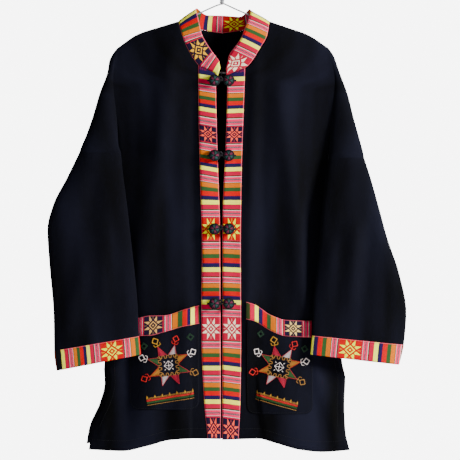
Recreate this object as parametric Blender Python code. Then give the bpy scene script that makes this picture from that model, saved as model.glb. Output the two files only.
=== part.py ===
"""Embroidered cotton jacket with long sleeves, hanging on a wire hanger.

X runs to the right as one faces the jacket, Z up, and its front faces -Y. The origin is the underside of
the hanger's hook, where a rod carries it. Sizes are in millimetres until a mesh is made. Left and right
are the left and right of the picture that the jacket makes, not those of its wearer.
"""

from math import cos, exp, hypot, pi, radians, sin, sqrt

import bmesh
import bpy
from mathutils import Vector

for old in list(bpy.data.objects):
    bpy.data.objects.remove(old, do_unlink=True)
COLLECTION = bpy.data.collections.new("embroidered_jacket")
CUTTERS = bpy.data.collections.new("cutters")
CUTTERS.hide_render = True
for collection in (COLLECTION, CUTTERS):
    bpy.context.scene.collection.children.link(collection)

MM = 0.001
SEAM_GAP = 0.3
PANEL_WALL = 1.5
TRIM_WALL = 1.5
FRONT_DEPTH = 20.0  # front cloth in front of the hanger's plane
BACK_DEPTH = 20.0
UNDERARM_CLEAR = 0.4  # more room between front and back where the underarm seam turns
SHOULDER_DROP = 75.0  # height in which the cloth rounds from the shoulder line to its full depth
ARM_HEIGHT = 182.0  # from the top of the crease at the shoulder to the underarm
SIDE_REACH = 90.0  # width in which it rises from the side seam to its full depth
SIDE_ROUND = 8.0  # width of the rounded side edge itself
EDGE_SHARE = 0.3  # share of the depth that the rounded side edge takes
UNDERARM_SHARE = 0.13  # and at the underarm
TIP_BULGE = 4.0  # how far the rounded shoulder tip stands out from a straight line
FLATNESS = 0.75  # 1 would make the sleeves' sections ellipses, less makes them flatter
WIRE_RADIUS = 1.25
HOOK_RADIUS = 22.0
HANGER_APEX = -75.0
BAR_Z = -204.5
WIRE_UNDER_SEAM = 3.7
TWIST_TURNS = 3
TWIST_STEPS = 8
TWIST_START = 150.0
TWIST_LOW = HANGER_APEX - 2.0
TWIST_RISE = 3.1  # in each turn
TWIST_RADIUS = 2.0 * WIRE_RADIUS + 0.35
KNOT_RADIUS = 12.0
KNOT_DEPTH = 6.5  # half its thickness
KNOT_GAP = 0.4  # between a knot and the placket under it
CUTTER_NEAR = -80.0
CUTTER_FAR = 30.0
SLEEVE_BACK_FOLD = 0.6  # height of the folds on the back of a sleeve, as a share of those on its front
SHARP_ANGLE = 50.0

CLOTH_COLOUR = (0.008, 0.009, 0.018)
TRIM_COLOUR = (0.45, 0.06, 0.07)
KNOT_COLOUR = (0.01, 0.01, 0.012)
WIRE_COLOUR = (0.55, 0.55, 0.57)


class Table:
    """Rows under named columns, read smoothly between rows along the first column."""

    def __init__(self, columns, *rows):
        self.columns = {name: [row[i] for row in rows] for i, name in enumerate(columns.split())}
        self.keys = [row[0] for row in rows]

    def slopes(self, values):
        keys = self.keys
        steps = [(values[i + 1] - values[i]) / (keys[i + 1] - keys[i]) for i in range(len(keys) - 1)]
        middle = [0.0 if a * b <= 0.0 else 2.0 * a * b / (a + b) for a, b in zip(steps, steps[1:])]
        return [steps[0]] + middle + [steps[-1]]

    def at(self, column, key):
        keys = self.keys
        values = self.columns[column]
        key = min(max(key, keys[0]), keys[-1])
        i = max(k for k in range(len(keys) - 1) if keys[k] <= key)
        slopes = self.slopes(values)
        gap = keys[i + 1] - keys[i]
        t = (key - keys[i]) / gap
        return (
            values[i] * (2 * t**3 - 3 * t**2 + 1)
            + slopes[i] * gap * (t**3 - 2 * t**2 + t)
            + values[i + 1] * (3 * t**2 - 2 * t**3)
            + slopes[i + 1] * gap * (t**3 - t**2)
        )


# The shoulder line from the neck (0) to the top of the crease between body and sleeve (1).
SHOULDER = {
    "left": Table("along x z", (0, -82, -109), (0.3, -115, -119), (0.65, -156, -132.5), (1, -194.7, -158.5)),
    "right": Table("along x z", (0, 89, -109), (0.3, 118, -119), (0.65, 160, -134), (1, 198, -158.5)),
}

# The arm from the shoulder tip (0) past the underarm (1) and the sleeve's seam (2) to its cuff (3) and its
# opening (4). Each row is a flat ring between an outer point and the ridge that lies over the body. The
# creases are the angles on that ring where the body's front and back join it, 0 being the ridge.
ARM_COLUMNS = "down outer_x outer_z ridge_x ridge_z depth middle_y front_crease back_crease"
ARM = {
    "left": Table(
        ARM_COLUMNS,
        (0.00, -209, -190, -190, -148, 13.0, 0.0, -60, 60),
        (0.15, -213, -207, -196, -182, 13.5, -1.0, -54, 68),
        (0.35, -227, -242, -199, -220, 14.0, -2.5, -40, 68),
        (0.60, -241, -289, -197, -268, 15.0, -4.0, -17, 48),
        (0.82, -254, -325, -194, -310, 15.5, -5.2, 3, 27),
        (1.00, -261, -341, -192, -341, 16.0, -5.8, 15, 15),
        (2.00, -265, -353, -190, -353, 15.5, -10.0, 15, 15),
        (2.15, -286, -398, -184, -388, 15.0, -19.5, 15, 15),
        (2.32, -313, -452, -177, -440, 14.5, -25.5, 15, 15),
        (2.46, -323, -496, -171, -490, 14.0, -28.5, 15, 15),
        (2.65, -319, -560, -164, -550, 13.5, -31.0, 15, 15),
        (2.85, -311, -655, -156, -632, 12.5, -32.5, 15, 15),
        (3.00, -310, -720, -153, -693, 12.0, -33.0, 15, 15),
        (4.00, -305, -757, -150, -727, 12.0, -33.0, 15, 15),
    ),
    "right": Table(
        ARM_COLUMNS,
        (0.00, 210, -188, 193, -148, 13.0, 0.0, -60, 60),
        (0.15, 219, -208, 201, -182, 13.5, -1.0, -54, 68),
        (0.35, 233, -243, 207, -222, 14.0, -2.5, -40, 68),
        (0.60, 246, -293, 205, -272, 15.0, -4.0, -17, 48),
        (0.82, 257, -332, 201, -318, 15.5, -5.2, 3, 27),
        (1.00, 262, -351, 198.5, -351, 16.0, -5.8, 15, 15),
        (2.00, 264, -363, 197.5, -363, 15.5, -10.0, 15, 15),
        (2.15, 277, -405, 192, -400, 15.0, -19.5, 15, 15),
        (2.32, 292, -460, 186, -450, 14.5, -25.5, 15, 15),
        (2.46, 306, -512, 182.5, -497, 14.0, -28.5, 15, 15),
        (2.65, 328, -578, 176, -568, 13.5, -31.0, 15, 15),
        (2.85, 341, -650, 169, -632, 12.5, -32.5, 15, 15),
        (3.00, 336, -709, 167, -692, 12.0, -33.0, 15, 15),
        (4.00, 327, -746, 164, -727, 12.0, -33.0, 15, 15),
    ),
}

# How far outside the underarm point the side seam runs, and below the slit's top the front's slit edge.
LEFT_SEAM = ((0, 0), (12, -3), (50, 9), (110, 17), (404, 21), (440, 19), (480, 29), (520, 47), (567, 55))
RIGHT_SEAM = ((0, 0), (12, -1.6), (50, 7), (110, 14), (394, 24), (420, 30), (470, 28), (520, 30), (555, 38))
SIDE_SEAM = {"left": Table("drop out", *LEFT_SEAM), "right": Table("drop out", *RIGHT_SEAM)}

# The front's neck seam and then its front edge, down to the level of the underarm and on to the hem.
NECK_SHARE = 0.47
FRONT_EDGE = {
    "left": Table(
        "down x z",
        (0, -82, -109),
        (0.13, -72, -143),
        (0.24, -60.5, -168),
        (0.35, -43.5, -192),
        (NECK_SHARE, -11, -211),
        (0.64, -10.6, -250),
        (1, -8.5, -341),
    ),
    "right": Table(
        "down x z",
        (0, 89, -109),
        (0.13, 84, -137),
        (0.24, 71, -160),
        (0.36, 48, -193.5),
        (NECK_SHARE, 10, -213),
        (0.64, 9.2, -252),
        (1, 6, -351),
    ),
}
FRONT_EDGE_LOW = {
    "left": Table("drop x", (0, -8.5), (60, -6.5), (150, -3.5), (250, -2.8), (543, -2)),
    "right": Table("drop x", (0, 6), (60, 3), (130, 0.8), (533, 0.5)),
}
FRONT_HEM = {
    "left": Table("across z", (0, -884), (0.2, -880), (0.38, -886), (0.55, -897), (0.75, -907), (1, -905)),
    "right": Table("across z", (0, -886), (0.28, -884), (0.42, -892), (0.6, -904), (0.8, -909), (1, -906)),
}

# The back's neck seam and then the centre back seam.
BACK_NECK_SHARE = 0.3
BACK_NECK = Table(
    "down spread z",
    (0, 1, -109),
    (0.1, 0.72, -118),
    (0.2, 0.38, -125),
    (BACK_NECK_SHARE, 0, -130),
)
BACK_HEM_Z = (-882, -894)  # at the centre seam and at the side
SLIT_DROP = 396.0  # from the underarm to the top of the side slits
SLIT_OPEN = 1.0
BACK_SIDE_OUT = {"left": 6.0, "right": 0.0}  # how far the back shows beyond the front's slit edge

# Each fold is a soft ridge, or a hollow where its height is negative, along one straight run. Its columns are
# x_top, z_top, x_low, z_low, half_width and height.
FRONT_FOLDS = {
    "left": (
        (-92, -150, -118, -380, 20, 4.5),
        (-118, -380, -157, -590, 22, 4.0),
        (-56, -240, -50, -640, 11, -3.0),
        (-60, -640, -80, -870, 16, 3.0),
        (-172, -480, -176, -880, 13, -3.0),
        (-205, -740, -232, -900, 13, 3.0),
        (-128, -700, -140, -890, 22, 2.5),
    ),
    "right": (
        (64, -165, 50, -480, 12, 3.5),
        (50, -480, 48, -780, 12, 3.5),
        (103, -225, 135, -450, 20, 4.5),
        (135, -450, 157, -660, 20, 4.5),
        (158, -430, 176, -700, 11, -3.0),
        (173, -745, 219, -895, 16, 4.0),
        (100, -650, 112, -880, 20, 2.5),
        (75, -300, 82, -640, 12, -2.0),
    ),
}
SLEEVE_FOLDS = {
    "left": (
        (-240, -480, -290, -700, 17, 3.5),
        (-212, -480, -222, -640, 13, 3.0),
        (-235, -400, -252, -560, 16, -2.5),
        (-262, -560, -300, -620, 12, -2.0),
    ),
    "right": (
        (203, -520, 190, -640, 12, 3.0),
        (250, -490, 234, -640, 14, 3.5),
        (298, -500, 334, -640, 16, 3.5),
        (270, -470, 262, -640, 13, -2.5),
    ),
}
BACK_FOLDS = {
    "left": (
        (-70, -170, -100, -520, 24, 3.5),
        (-130, -400, -165, -780, 22, 4.0),
        (-40, -420, -52, -880, 18, -3.0),
        (-95, -560, -110, -880, 18, 3.0),
    ),
    "right": (
        (84, -180, 96, -560, 22, 3.5),
        (122, -420, 170, -830, 22, 4.0),
        (46, -380, 44, -880, 18, 3.0),
        (90, -620, 104, -880, 16, -3.0),
    ),
}
# Beside each placket the front is folded over its own inner strip, sharply, from here down to the hem.
TUCK_TOP = -730
TUCK_HEIGHT = 4.5
TUCK_WIDTH = 5.0
TUCK = {
    "left": {"x_top": -56, "x_low": -55},
    "right": {"x_top": 58, "x_low": 76},
}

# Outlines of what is sewn on the fronts, in X and Z. A placket's other edges are the front's own.
PLACKET_OUTER = {
    "left": ((-26, -920), (-27, -880), (-33, -815), (-38, -680), (-37, -534), (-40.5, -400), (-44, -200)),
    "right": ((29, -920), (31, -880), (35.7, -700), (35, -534), (36.5, -400), (41, -255), (44, -170)),
}
POCKET = {
    "left": {"outer": -171, "inner": -42, "top": -664, "top_inner": -645, "low": -830, "corner": 16},
    "right": {"outer": 169, "inner": 45, "top": -677, "top_inner": -650, "low": -838, "corner": 16},
}
POCKET_BAND = {
    "left": Table(
        "along x top low",
        (0, -157, -661, -693.5),
        (0.2, -134, -655.5, -693),
        (0.45, -107, -655, -686),
        (0.75, -72, -645, -676),
        (1, -42, -636.5, -670),
    ),
    "right": Table(
        "along x top low",
        (0, 165, -665, -696),
        (0.35, 118, -663.5, -693.5),
        (0.6, 90, -654, -683),
        (0.85, 60, -635, -666),
        (1, 45, -630, -662),
    ),
}

# The collar's top edge. The way round runs from the left front edge (0) over the left shoulder (1), the
# centre back (2) and the right shoulder (3) to the right front edge (4). Its seam follows the panels' neck
# edges.
COLLAR_TOP = Table(
    "round x z y",
    (0.00, -5.5, -183, -20.5),
    (0.25, -22, -161, -20.5),
    (0.49, -31, -147, -20),
    (0.72, -38, -133, -18),
    (0.89, -44, -105, -10),
    (1.00, -49.5, -86, 1),
    (1.33, -47, -83.5, 13),
    (1.67, -27, -96, 19),
    (2.00, 1, -96.5, 20.5),
    (2.33, 33, -99, 18.5),
    (2.67, 51, -85, 13),
    (3.00, 53.5, -89, 1),
    (3.11, 50, -104, -11),
    (3.28, 44, -119, -17),
    (3.51, 35, -142, -20),
    (3.77, 13, -174, -20.5),
    (4.00, 10.5, -186, -20.5),
)
COLLAR_END = {"left": (3.0, -2.8, -197), "right": (-2.0, 6.5, -199)}

UNDERARM_ANGLE = 15.0  # where on the arm's ring the underarm seam runs
KNOT_Z = (-220, -359, -495, -633)
KNOT_X = {"left": -13.6, "right": 12.6}

# The hanger's wire in X and Z: its hook, its neck, the starts of its shoulders and its four bends, each bend
# given as a centre, a radius and two angles.
HOOK_ARC = (195.0, -35.0)
WIRE_NECK = ((9, -44), (3, -49), (0, -55), (0, -70))
WIRE_RIGHT = ((1.5, -75), (9, -78.5), (25, -86), (55, -99))
WIRE_LEFT = ((-54, -99.5), (-25, -86), (-10, -79.5))
WIRE_SHARES = (0.02, 0.3, 0.6, 0.85)
WIRE_BENDS = (
    (184, -177, 16, 62, -10),
    (181, BAR_Z + 12, 12, -15, -90),
    (-180, BAR_Z + 12, 12, 270, 195),
    (-182, -177, 16, 190, 118),
)

# The share of a panel's width or height at which each of its columns and rows stands.
FRONT_COLUMNS = (0, 0.09, 0.17, 0.21, 0.25, 0.33, 0.42, 0.51, 0.6, 0.69, 0.77, 0.84, 0.9, 0.95, 0.98, 1)
FRONT_UPPER_ROWS = (0, 0.015, 0.05, 0.11, 0.18, 0.25, 0.32, 0.39, NECK_SHARE, 0.6, 0.74, 0.87, 1)
BACK_UPPER_ROWS = (0, 0.015, 0.05, 0.1, 0.15, 0.2, 0.25, BACK_NECK_SHARE, 0.4, 0.5, 0.62, 0.74, 0.87, 1)
FRONT_LOWER_ROWS = (0, 0.022, 0.09, 0.19, 0.31, 0.43, 0.55, 0.65, 0.72, 0.79, 0.86, 0.93, 1)
BACK_COLUMNS = (0, 0.1, 0.22, 0.34, 0.46, 0.58, 0.7, 0.8, 0.88, 0.94, 0.98, 1)
BACK_LOWER_ROWS = (0, 0.022, 0.09, 0.21, 0.35, 0.49, 0.61, 0.7, 0.8, 0.9, 1)
RING_STEPS = (0, 0.06, 0.15, 0.29, 0.45, 0.61, 0.77, 0.91, 1)
SLEEVE_ROWS = (2.0, 2.07, 2.15, 2.24, 2.33, 2.41, 2.5, 2.62, 2.74, 2.87, 3.0)
CUFF_ROWS = (3.0, 3.5, 4.0)
SIGN = {"left": -1.0, "right": 1.0}
CREASE_COLUMNS = ("front_crease", "back_crease")


def clamp(value, low=0.0, high=1.0):
    return min(max(value, low), high)


def ease(t):
    t = clamp(t)
    return t * t * (3.0 - 2.0 * t)


def quarter_round(t):
    """0 to 1 along a quarter of an ellipse that starts straight up."""
    return sqrt(1.0 - (1.0 - clamp(t)) ** 2)


def mix(a, b, t):
    return a + (b - a) * t


def fold_rise(x, z, folds):
    """How far all folds lift the cloth at a point."""
    rise = 0.0
    for fold in folds:
        x_top, z_top, x_low, z_low, half_width, height = fold
        run_x, run_z = x_low - x_top, z_low - z_top
        length = hypot(run_x, run_z)
        along = ((x - x_top) * run_x + (z - z_top) * run_z) / length**2
        aside = ((x - x_top) * run_z - (z - z_top) * run_x) / length
        fade = ease((along + 0.12) / 0.3) * ease((1.12 - along) / 0.3)
        rise += height * fade * exp(-((aside / half_width) ** 2))
    return rise


def tuck_rise(x, z, side):
    """The step beside the placket, raised on the side away from it."""
    depth = ease((TUCK_TOP - z) / 90.0)
    edge = mix(TUCK[side]["x_top"], TUCK[side]["x_low"], clamp((TUCK_TOP - z) / 150.0))
    beyond = (x - edge) * SIGN[side]
    return TUCK_HEIGHT * depth * ease(beyond / TUCK_WIDTH) * ease((110.0 - beyond) / 90.0)


def arm_rounding(down):
    """How far the arm has rounded out from the shoulder line, 0 to 1."""
    return quarter_round(down * ARM_HEIGHT / SHOULDER_DROP)


def ring_point(side, down, angle):
    """A point on the arm's ring at this row, 0 degrees being the ridge and -90 the front."""
    arm = ARM[side]
    outer = Vector((arm.at("outer_x", down), 0.0, arm.at("outer_z", down)))
    ridge = Vector((arm.at("ridge_x", down), 0.0, arm.at("ridge_z", down)))
    half = (ridge - outer) / 2.0
    point = outer + half + half * cos(radians(angle))
    swing = sin(radians(angle))
    rounding = arm_rounding(down)
    depth = arm.at("depth", down) * rounding
    swung = depth * (abs(swing) ** FLATNESS) * (1 if swing > 0 else -1)
    point.y = arm.at("middle_y", down) * rounding + swung
    if down < 1.0:
        corner = TIP_BULGE * (1.0 - down) ** 4 * sin(pi * clamp((abs(angle) - 60.0) / 120.0))
        point += Vector((-half.z, 0.0, half.x)).normalized() * corner * SIGN[side] * -1.0
    folds = fold_rise(point.x, point.z, SLEEVE_FOLDS[side]) * abs(swing) * ease(down - 1.0)
    if swing < 0.0:
        point.y -= folds
    else:
        point.y += SLEEVE_BACK_FOLD * folds
    return point


def crease_table(side, which):
    """The line where the body's front or back joins the arm, read by its height, with its full depth."""
    rows = []
    for step in range(20, -1, -1):
        down = step / 20.0
        point = ring_point(side, down, ARM[side].at(which, down))
        rows.append((point.z, point.x, point.y / arm_rounding(max(down, 0.02))))
    rows[-1] = (*rows[-1][:2], rows[-2][2])
    return Table("z x y", *rows)


CREASE = {(side, which): crease_table(side, which) for side in SIGN for which in CREASE_COLUMNS}


def underarm_z(side):
    return CREASE[side, "front_crease"].keys[0]


def side_edge(side, which, z):
    """X and Y of the body's outer edge at a height: the crease above the underarm, the side seam below."""
    drop = underarm_z(side) - z
    if drop > 0.0:
        shown = BACK_SIDE_OUT[side] * ease((drop - SLIT_DROP + 20.0) / 40.0)
        shift = shown if which == "back_crease" else 0.0
        out = SIDE_SEAM[side].at("out", drop) + shift
        return CREASE[side, which].at("x", -1000) + out * SIGN[side], CREASE[side, which].at("y", -1000)
    return CREASE[side, which].at("x", z), CREASE[side, which].at("y", z)


def edge_share(above):
    """Share of the depth that the rounded side edge takes, from well above the underarm to well below it."""
    if above > 0.0:
        return UNDERARM_SHARE * (1.0 - ease((above - 25.0) / 40.0))
    return mix(UNDERARM_SHARE, EDGE_SHARE, ease(-above / 45.0))


def body_y(side, which, x, z):
    """The outer surface of the front or back over a point of the X-Z plane."""
    edge_x, edge_y = side_edge(side, which, z)
    inward = max(0.0, (edge_x - x) * SIGN[side])
    neck_x = SHOULDER[side].at("x", 0)
    beside = max(0.0, (neck_x - x) * SIGN[side])
    below = max(0.0, shoulder_z(side, x) - z)
    dome = quarter_round(hypot(beside, below) / SHOULDER_DROP)
    share = edge_share(z - underarm_z(side))
    reach = share * quarter_round(inward / SIDE_ROUND) + (1.0 - share) * ease(inward / SIDE_REACH)
    if which == "front_crease":
        rise = -fold_rise(x, z, FRONT_FOLDS[side]) - tuck_rise(x, z, side)
        full = -FRONT_DEPTH
    else:
        rise = fold_rise(x, z, BACK_FOLDS[side]) * ease(abs(x) / 15.0)
        full = BACK_DEPTH
    return dome * (mix(edge_y, full, reach) + rise * ease(inward / 25.0))


def shoulder_z(side, x):
    """Height of the shoulder line over X, level inside the neck."""
    table = SHOULDER[side]
    low, high = 0.0, 1.0
    if (x - table.at("x", 0)) * SIGN[side] <= 0.0:
        return table.at("z", 0)
    for _ in range(24):
        middle = (low + high) / 2.0
        if (x - table.at("x", middle)) * SIGN[side] > 0.0:
            low = middle
        else:
            high = middle
    return table.at("z", low)


def coons(top, low, inner, outer, across, down):
    """A point of the patch between four edge curves, each a function from 0 to 1 to an (x, z) Vector."""
    corners = (
        top(0) * (1 - across) * (1 - down)
        + top(1) * across * (1 - down)
        + low(0) * (1 - across) * down
        + low(1) * across * down
    )
    between = top(across) * (1 - down) + low(across) * down
    return between + inner(down) * (1 - across) + outer(down) * across - corners


def upper_edges(side, which):
    """The four edges of a panel above the underarm."""
    front = which == "front_crease"
    level = underarm_z(side)

    def top(t):
        return Vector((SHOULDER[side].at("x", t), SHOULDER[side].at("z", t)))

    def inner(t):
        if front:
            return Vector((FRONT_EDGE[side].at("x", t), FRONT_EDGE[side].at("z", t)))
        if t < BACK_NECK_SHARE:
            spread = BACK_NECK.at("spread", t)
            return Vector((spread * SHOULDER[side].at("x", 0), BACK_NECK.at("z", t)))
        share = (t - BACK_NECK_SHARE) / (1.0 - BACK_NECK_SHARE)
        return Vector((0.0, mix(BACK_NECK.at("z", 1), level, share)))

    def outer(t):
        point = ring_point(side, t, ARM[side].at(which, t))
        return Vector((point.x, point.z))

    def low(t):
        return inner(1).lerp(outer(1), t)

    return top, low, inner, outer


def lower_edges(side, which):
    """The four edges of a panel from the underarm to its hem."""
    front = which == "front_crease"
    level = underarm_z(side)
    upper_low = upper_edges(side, which)[1]
    hem_z = (lambda t: FRONT_HEM[side].at("z", t)) if front else (lambda t: mix(*BACK_HEM_Z, ease(t)))

    def inner(t):
        z = mix(level, hem_z(0), t)
        return Vector((FRONT_EDGE_LOW[side].at("x", level - z) if front else 0.0, z))

    def outer(t):
        z = mix(level, hem_z(1), t)
        return Vector((side_edge(side, which, z - 0.01)[0], z))

    def low(t):
        return Vector((mix(inner(1).x, outer(1).x, t), hem_z(t)))

    return upper_low, low, inner, outer


def panel_point(side, which, edges, across, down):
    flat = coons(*edges, across, down)
    return Vector((flat.x, body_y(side, which, flat.x, flat.y), flat.y))


def outward_normals(points, cells):
    """One direction per point, from the faces round it, each cell being ordered to face outwards."""
    normals = {key: Vector((0.0, 0.0, 0.0)) for key in points}
    for cell in cells:
        a, b, c, d = (points[key] for key in cell)
        face = (c - a).cross(d - b)
        for key in cell:
            normals[key] += face
    return {key: normal.normalized() for key, normal in normals.items()}


def cloth_solid(name, points, cells, wall, material, directions=None):
    """A wall under a surface: its points, the same points moved in, and a rim along each open edge."""
    normals = outward_normals(points, cells)
    normals.update(directions or {})
    mesh = bpy.data.meshes.new(name)
    order = list(points)
    index = {key: i for i, key in enumerate(order)}
    outer = [points[key] * MM for key in order]
    inner = [(points[key] - normals[key] * wall) * MM for key in order]
    quads = [[index[key] for key in cell] for cell in cells]
    faces = [half for a, b, c, d in quads for half in ((a, b, c), (a, c, d))]
    count = len(order)
    edges = {(face[i], face[(i + 1) % 3]) for face in faces for i in range(3)}
    rim = [(b, a, a + count, b + count) for a, b in edges if (b, a) not in edges]
    back = [tuple(i + count for i in reversed(face)) for face in faces]
    mesh.from_pydata(outer + inner, [], faces + back + sorted(rim))
    mesh.validate()
    mesh.update()
    mesh.materials.append(material)
    mesh.shade_smooth()
    mesh.set_sharp_from_angle(angle=radians(SHARP_ANGLE))
    obj = bpy.data.objects.new(name, mesh)
    COLLECTION.objects.link(obj)
    return obj


def grid_cells(columns, rows, flip, first=(0, 0)):
    """The cells of a grid of keys (column, row), turned over where flip is set."""
    cells = []
    for row in range(first[1], rows - 1):
        for column in range(first[0], columns - 1):
            cell = [(column, row), (column + 1, row), (column + 1, row + 1), (column, row + 1)]
            cells.append(tuple(reversed(cell)) if flip else tuple(cell))
    return cells


def ring_plane(side, down):
    """The direction across the ring at a row, and the way along the arm, both in the X-Z plane."""
    arm = ARM[side]
    outer = Vector((arm.at("outer_x", down), 0.0, arm.at("outer_z", down)))
    ridge = Vector((arm.at("ridge_x", down), 0.0, arm.at("ridge_z", down)))
    across = (ridge - outer).normalized()
    along = Vector((across.z, 0.0, -across.x))
    return across, along if along.z < 0.0 else -along


def ring_normal(side, down, angle):
    """Outward direction of the ring within its own plane."""
    ahead, behind = ring_point(side, down, angle + 2.0), ring_point(side, down, angle - 2.0)
    tangent = ahead - behind
    along = ring_plane(side, down)[1]
    normal = tangent.cross(along).normalized()
    middle = (ring_point(side, down, 0.0) + ring_point(side, down, 180.0)) / 2.0
    return normal if normal.dot(ring_point(side, down, angle) - middle) > 0.0 else -normal


def panel_grid(side, which):
    """The front or back on one side: body, shoulder and upper arm in one piece."""
    front = which == "front_crease"
    toward = -1.0 if front else 1.0
    seam = toward * SEAM_GAP / 2.0
    underarm = seam if front else seam + UNDERARM_CLEAR
    columns = FRONT_COLUMNS if front else BACK_COLUMNS
    lower_rows = FRONT_LOWER_ROWS if front else BACK_LOWER_ROWS
    upper_rows = FRONT_UPPER_ROWS if front else BACK_UPPER_ROWS
    upper, lower = upper_edges(side, which), lower_edges(side, which)
    body_last, arm_last, level_row = len(columns) - 1, len(columns) - 2 + len(RING_STEPS), len(upper_rows) - 1
    points, directions = {}, {}
    for column, across in enumerate(columns):
        for row, down in enumerate(upper_rows):
            points[column, row] = panel_point(side, which, upper, across, down)
        for row, down in enumerate(lower_rows[1:], len(upper_rows)):
            points[column, row] = panel_point(side, which, lower, across, down)
        tangent = upper[0](min(across + 0.02, 1)) - upper[0](max(across - 0.02, 0))
        directions[column, 0] = Vector((-tangent.y, 0.0, tangent.x)).normalized() * SIGN[side]
        points[column, 0].y = seam
    if not front:
        for row in range(upper_rows.index(BACK_NECK_SHARE), level_row + len(lower_rows)):
            points[0, row].x = SIGN[side] * SEAM_GAP / 2.0
            directions[0, row] = Vector((0.0, 1.0, 0.0))
    for row in range(level_row, level_row + len(lower_rows)):
        below_slit = underarm_z(side) - SLIT_DROP - points[body_last, row].z
        points[body_last, row].y += seam + toward * SLIT_OPEN * ease(below_slit / 60.0)
        directions[body_last, row] = Vector((SIGN[side], 0.0, 0.0))
    end_angle = toward * 180.0
    arm_rows = list(upper_rows) + [1.5, 2.0]
    for row, down in enumerate(arm_rows):
        start = ARM[side].at(which, down)
        for step, share in enumerate(RING_STEPS):
            key = (body_last + step, row) if row <= level_row else ("arm", step, row)
            angle = mix(start, end_angle, share)
            if step == 0 and row <= level_row:
                continue
            point = ring_point(side, down, angle)
            if row == 0:
                point.y = seam
                directions[key] = Vector((SIGN[side] * 0.8, 0.0, 0.6))
            elif share == 1:
                point.y += seam
                directions[key] = -ring_plane(side, down)[0]
            elif step == 0:
                point.y += underarm
                directions[key] = ring_normal(side, down, angle)
            if down == 2.0:
                point -= ring_plane(side, down)[1] * SEAM_GAP / 2.0
                directions[key] = ring_normal(side, down, angle)
            points[key] = point
    directions[body_last, level_row] = Vector((0.0, 0.0, -1.0))
    points[body_last, level_row].y += underarm - seam
    points[body_last, level_row + 1].y += underarm - seam
    flip = (side == "right") == front
    cells = grid_cells(len(columns), level_row + len(lower_rows), flip)
    cells += grid_cells(arm_last + 1, level_row + 1, flip, (body_last, 0))
    for row in range(level_row, len(arm_rows) - 1):
        for step in range(len(RING_STEPS) - 1):
            corners = ((step, row), (step + 1, row), (step + 1, row + 1), (step, row + 1))
            cell = [arm_key(*corner, body_last, level_row) for corner in corners]
            cells.append(tuple(reversed(cell)) if flip else tuple(cell))
    return points, cells, directions


def make_panel(side, which, name, material):
    points, cells, directions = panel_grid(side, which)
    cloth_solid(name, points, cells, PANEL_WALL, material, directions)


def arm_key(step, row, body_last, level_row):
    return (body_last + step, row) if row <= level_row else ("arm", step, row)


def ring_angles():
    """The angles once round a sleeve, starting at its underarm seam."""
    start = UNDERARM_ANGLE
    front = [mix(start, -180.0, share) for share in RING_STEPS]
    back = [mix(start, 180.0, share) for share in RING_STEPS]
    return front + [angle - 360.0 for angle in reversed(back[1:-1])]


def make_tube(side, rows, name, wall, material):
    """A sleeve or cuff: rings round the arm, with both ends open."""
    angles = ring_angles()
    points, directions = {}, {}
    for row, down in enumerate(rows):
        along = ring_plane(side, down)[1]
        gap = SEAM_GAP / 2.0 if row == 0 else -SEAM_GAP / 2.0 if down == rows[-1] == CUFF_ROWS[0] else 0.0
        for i, angle in enumerate(angles):
            points[i, row] = ring_point(side, down, angle) + along * gap
            if row in (0, len(rows) - 1):
                directions[i, row] = ring_normal(side, down, angle)
    cells = []
    for row in range(len(rows) - 1):
        for i in range(len(angles)):
            j = (i + 1) % len(angles)
            cell = (i, row), (j, row), (j, row + 1), (i, row + 1)
            cells.append(tuple(reversed(cell)) if side == "right" else cell)
    cloth_solid(name, points, cells, wall, material, directions)


def collar_stations():
    """The way round the neck and the seam point at each column, which are the panels' own edge points."""
    stations = []
    for side, turn in (("left", 1), ("right", -1)):
        front, back = upper_edges(side, "front_crease"), upper_edges(side, "back_crease")
        centre = 1.0 if side == "left" else 3.0
        for share in FRONT_UPPER_ROWS:
            if 0.0 < share <= NECK_SHARE:
                point = panel_point(side, "front_crease", front, 0.0, share)
                stations.append((centre - turn * share / NECK_SHARE, point))
        for share in BACK_UPPER_ROWS:
            if share < BACK_NECK_SHARE or (share == BACK_NECK_SHARE and side == "left"):
                point = panel_point(side, "back_crease", back, 0.0, share)
                stations.append((centre + turn * share / BACK_NECK_SHARE, point))
    return sorted(stations, key=lambda station: station[0])


def make_collar(material):
    """A stand collar leaning in over the neck, one strip from front end to front end."""
    columns = []
    for way, seam in collar_stations():
        columns.append((seam, Vector([COLLAR_TOP.at(axis, way) for axis in "xyz"])))
    for side in SIGN:
        past, top_x, top_z = COLLAR_END[side]
        seam, top = columns[0 if side == "left" else -1]
        end = (seam + Vector((past, 0, -1)), Vector((top_x, top.y, top_z)))
        columns.insert(0 if side == "left" else len(columns), end)
    heights = (0.0, 0.33, 0.67, 1.0)
    points = {}
    for column, (seam, top) in enumerate(columns):
        up = (top - seam).normalized()
        for row, height in enumerate(heights):
            points[column, row] = seam.lerp(top, height) + up * SEAM_GAP * (1.0 - height)
    cells = grid_cells(len(columns), len(heights), True)
    cloth_solid("collar", points, cells, TRIM_WALL, material)


def make_cutter(name, outline):
    """A prism through the whole depth of the jacket, from an outline in X and Z."""
    count = len(outline)
    near = [(x * MM, CUTTER_NEAR * MM, z * MM) for x, z in outline]
    far = [(x * MM, CUTTER_FAR * MM, z * MM) for x, z in outline]
    sides = [(i, i + count, (i + 1) % count + count, (i + 1) % count) for i in range(count)]
    ends = [tuple(range(count)), tuple(reversed(range(count, 2 * count)))]
    mesh = bpy.data.meshes.new(name)
    mesh.from_pydata(near + far, [], ends + sides)
    tool = bmesh.new()
    tool.from_mesh(mesh)
    bmesh.ops.recalc_face_normals(tool, faces=tool.faces)
    tool.to_mesh(mesh)
    tool.free()
    cutter = bpy.data.objects.new(name, mesh)
    cutter.hide_render = True
    cutter.display_type = "WIRE"
    CUTTERS.objects.link(cutter)
    return cutter


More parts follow.
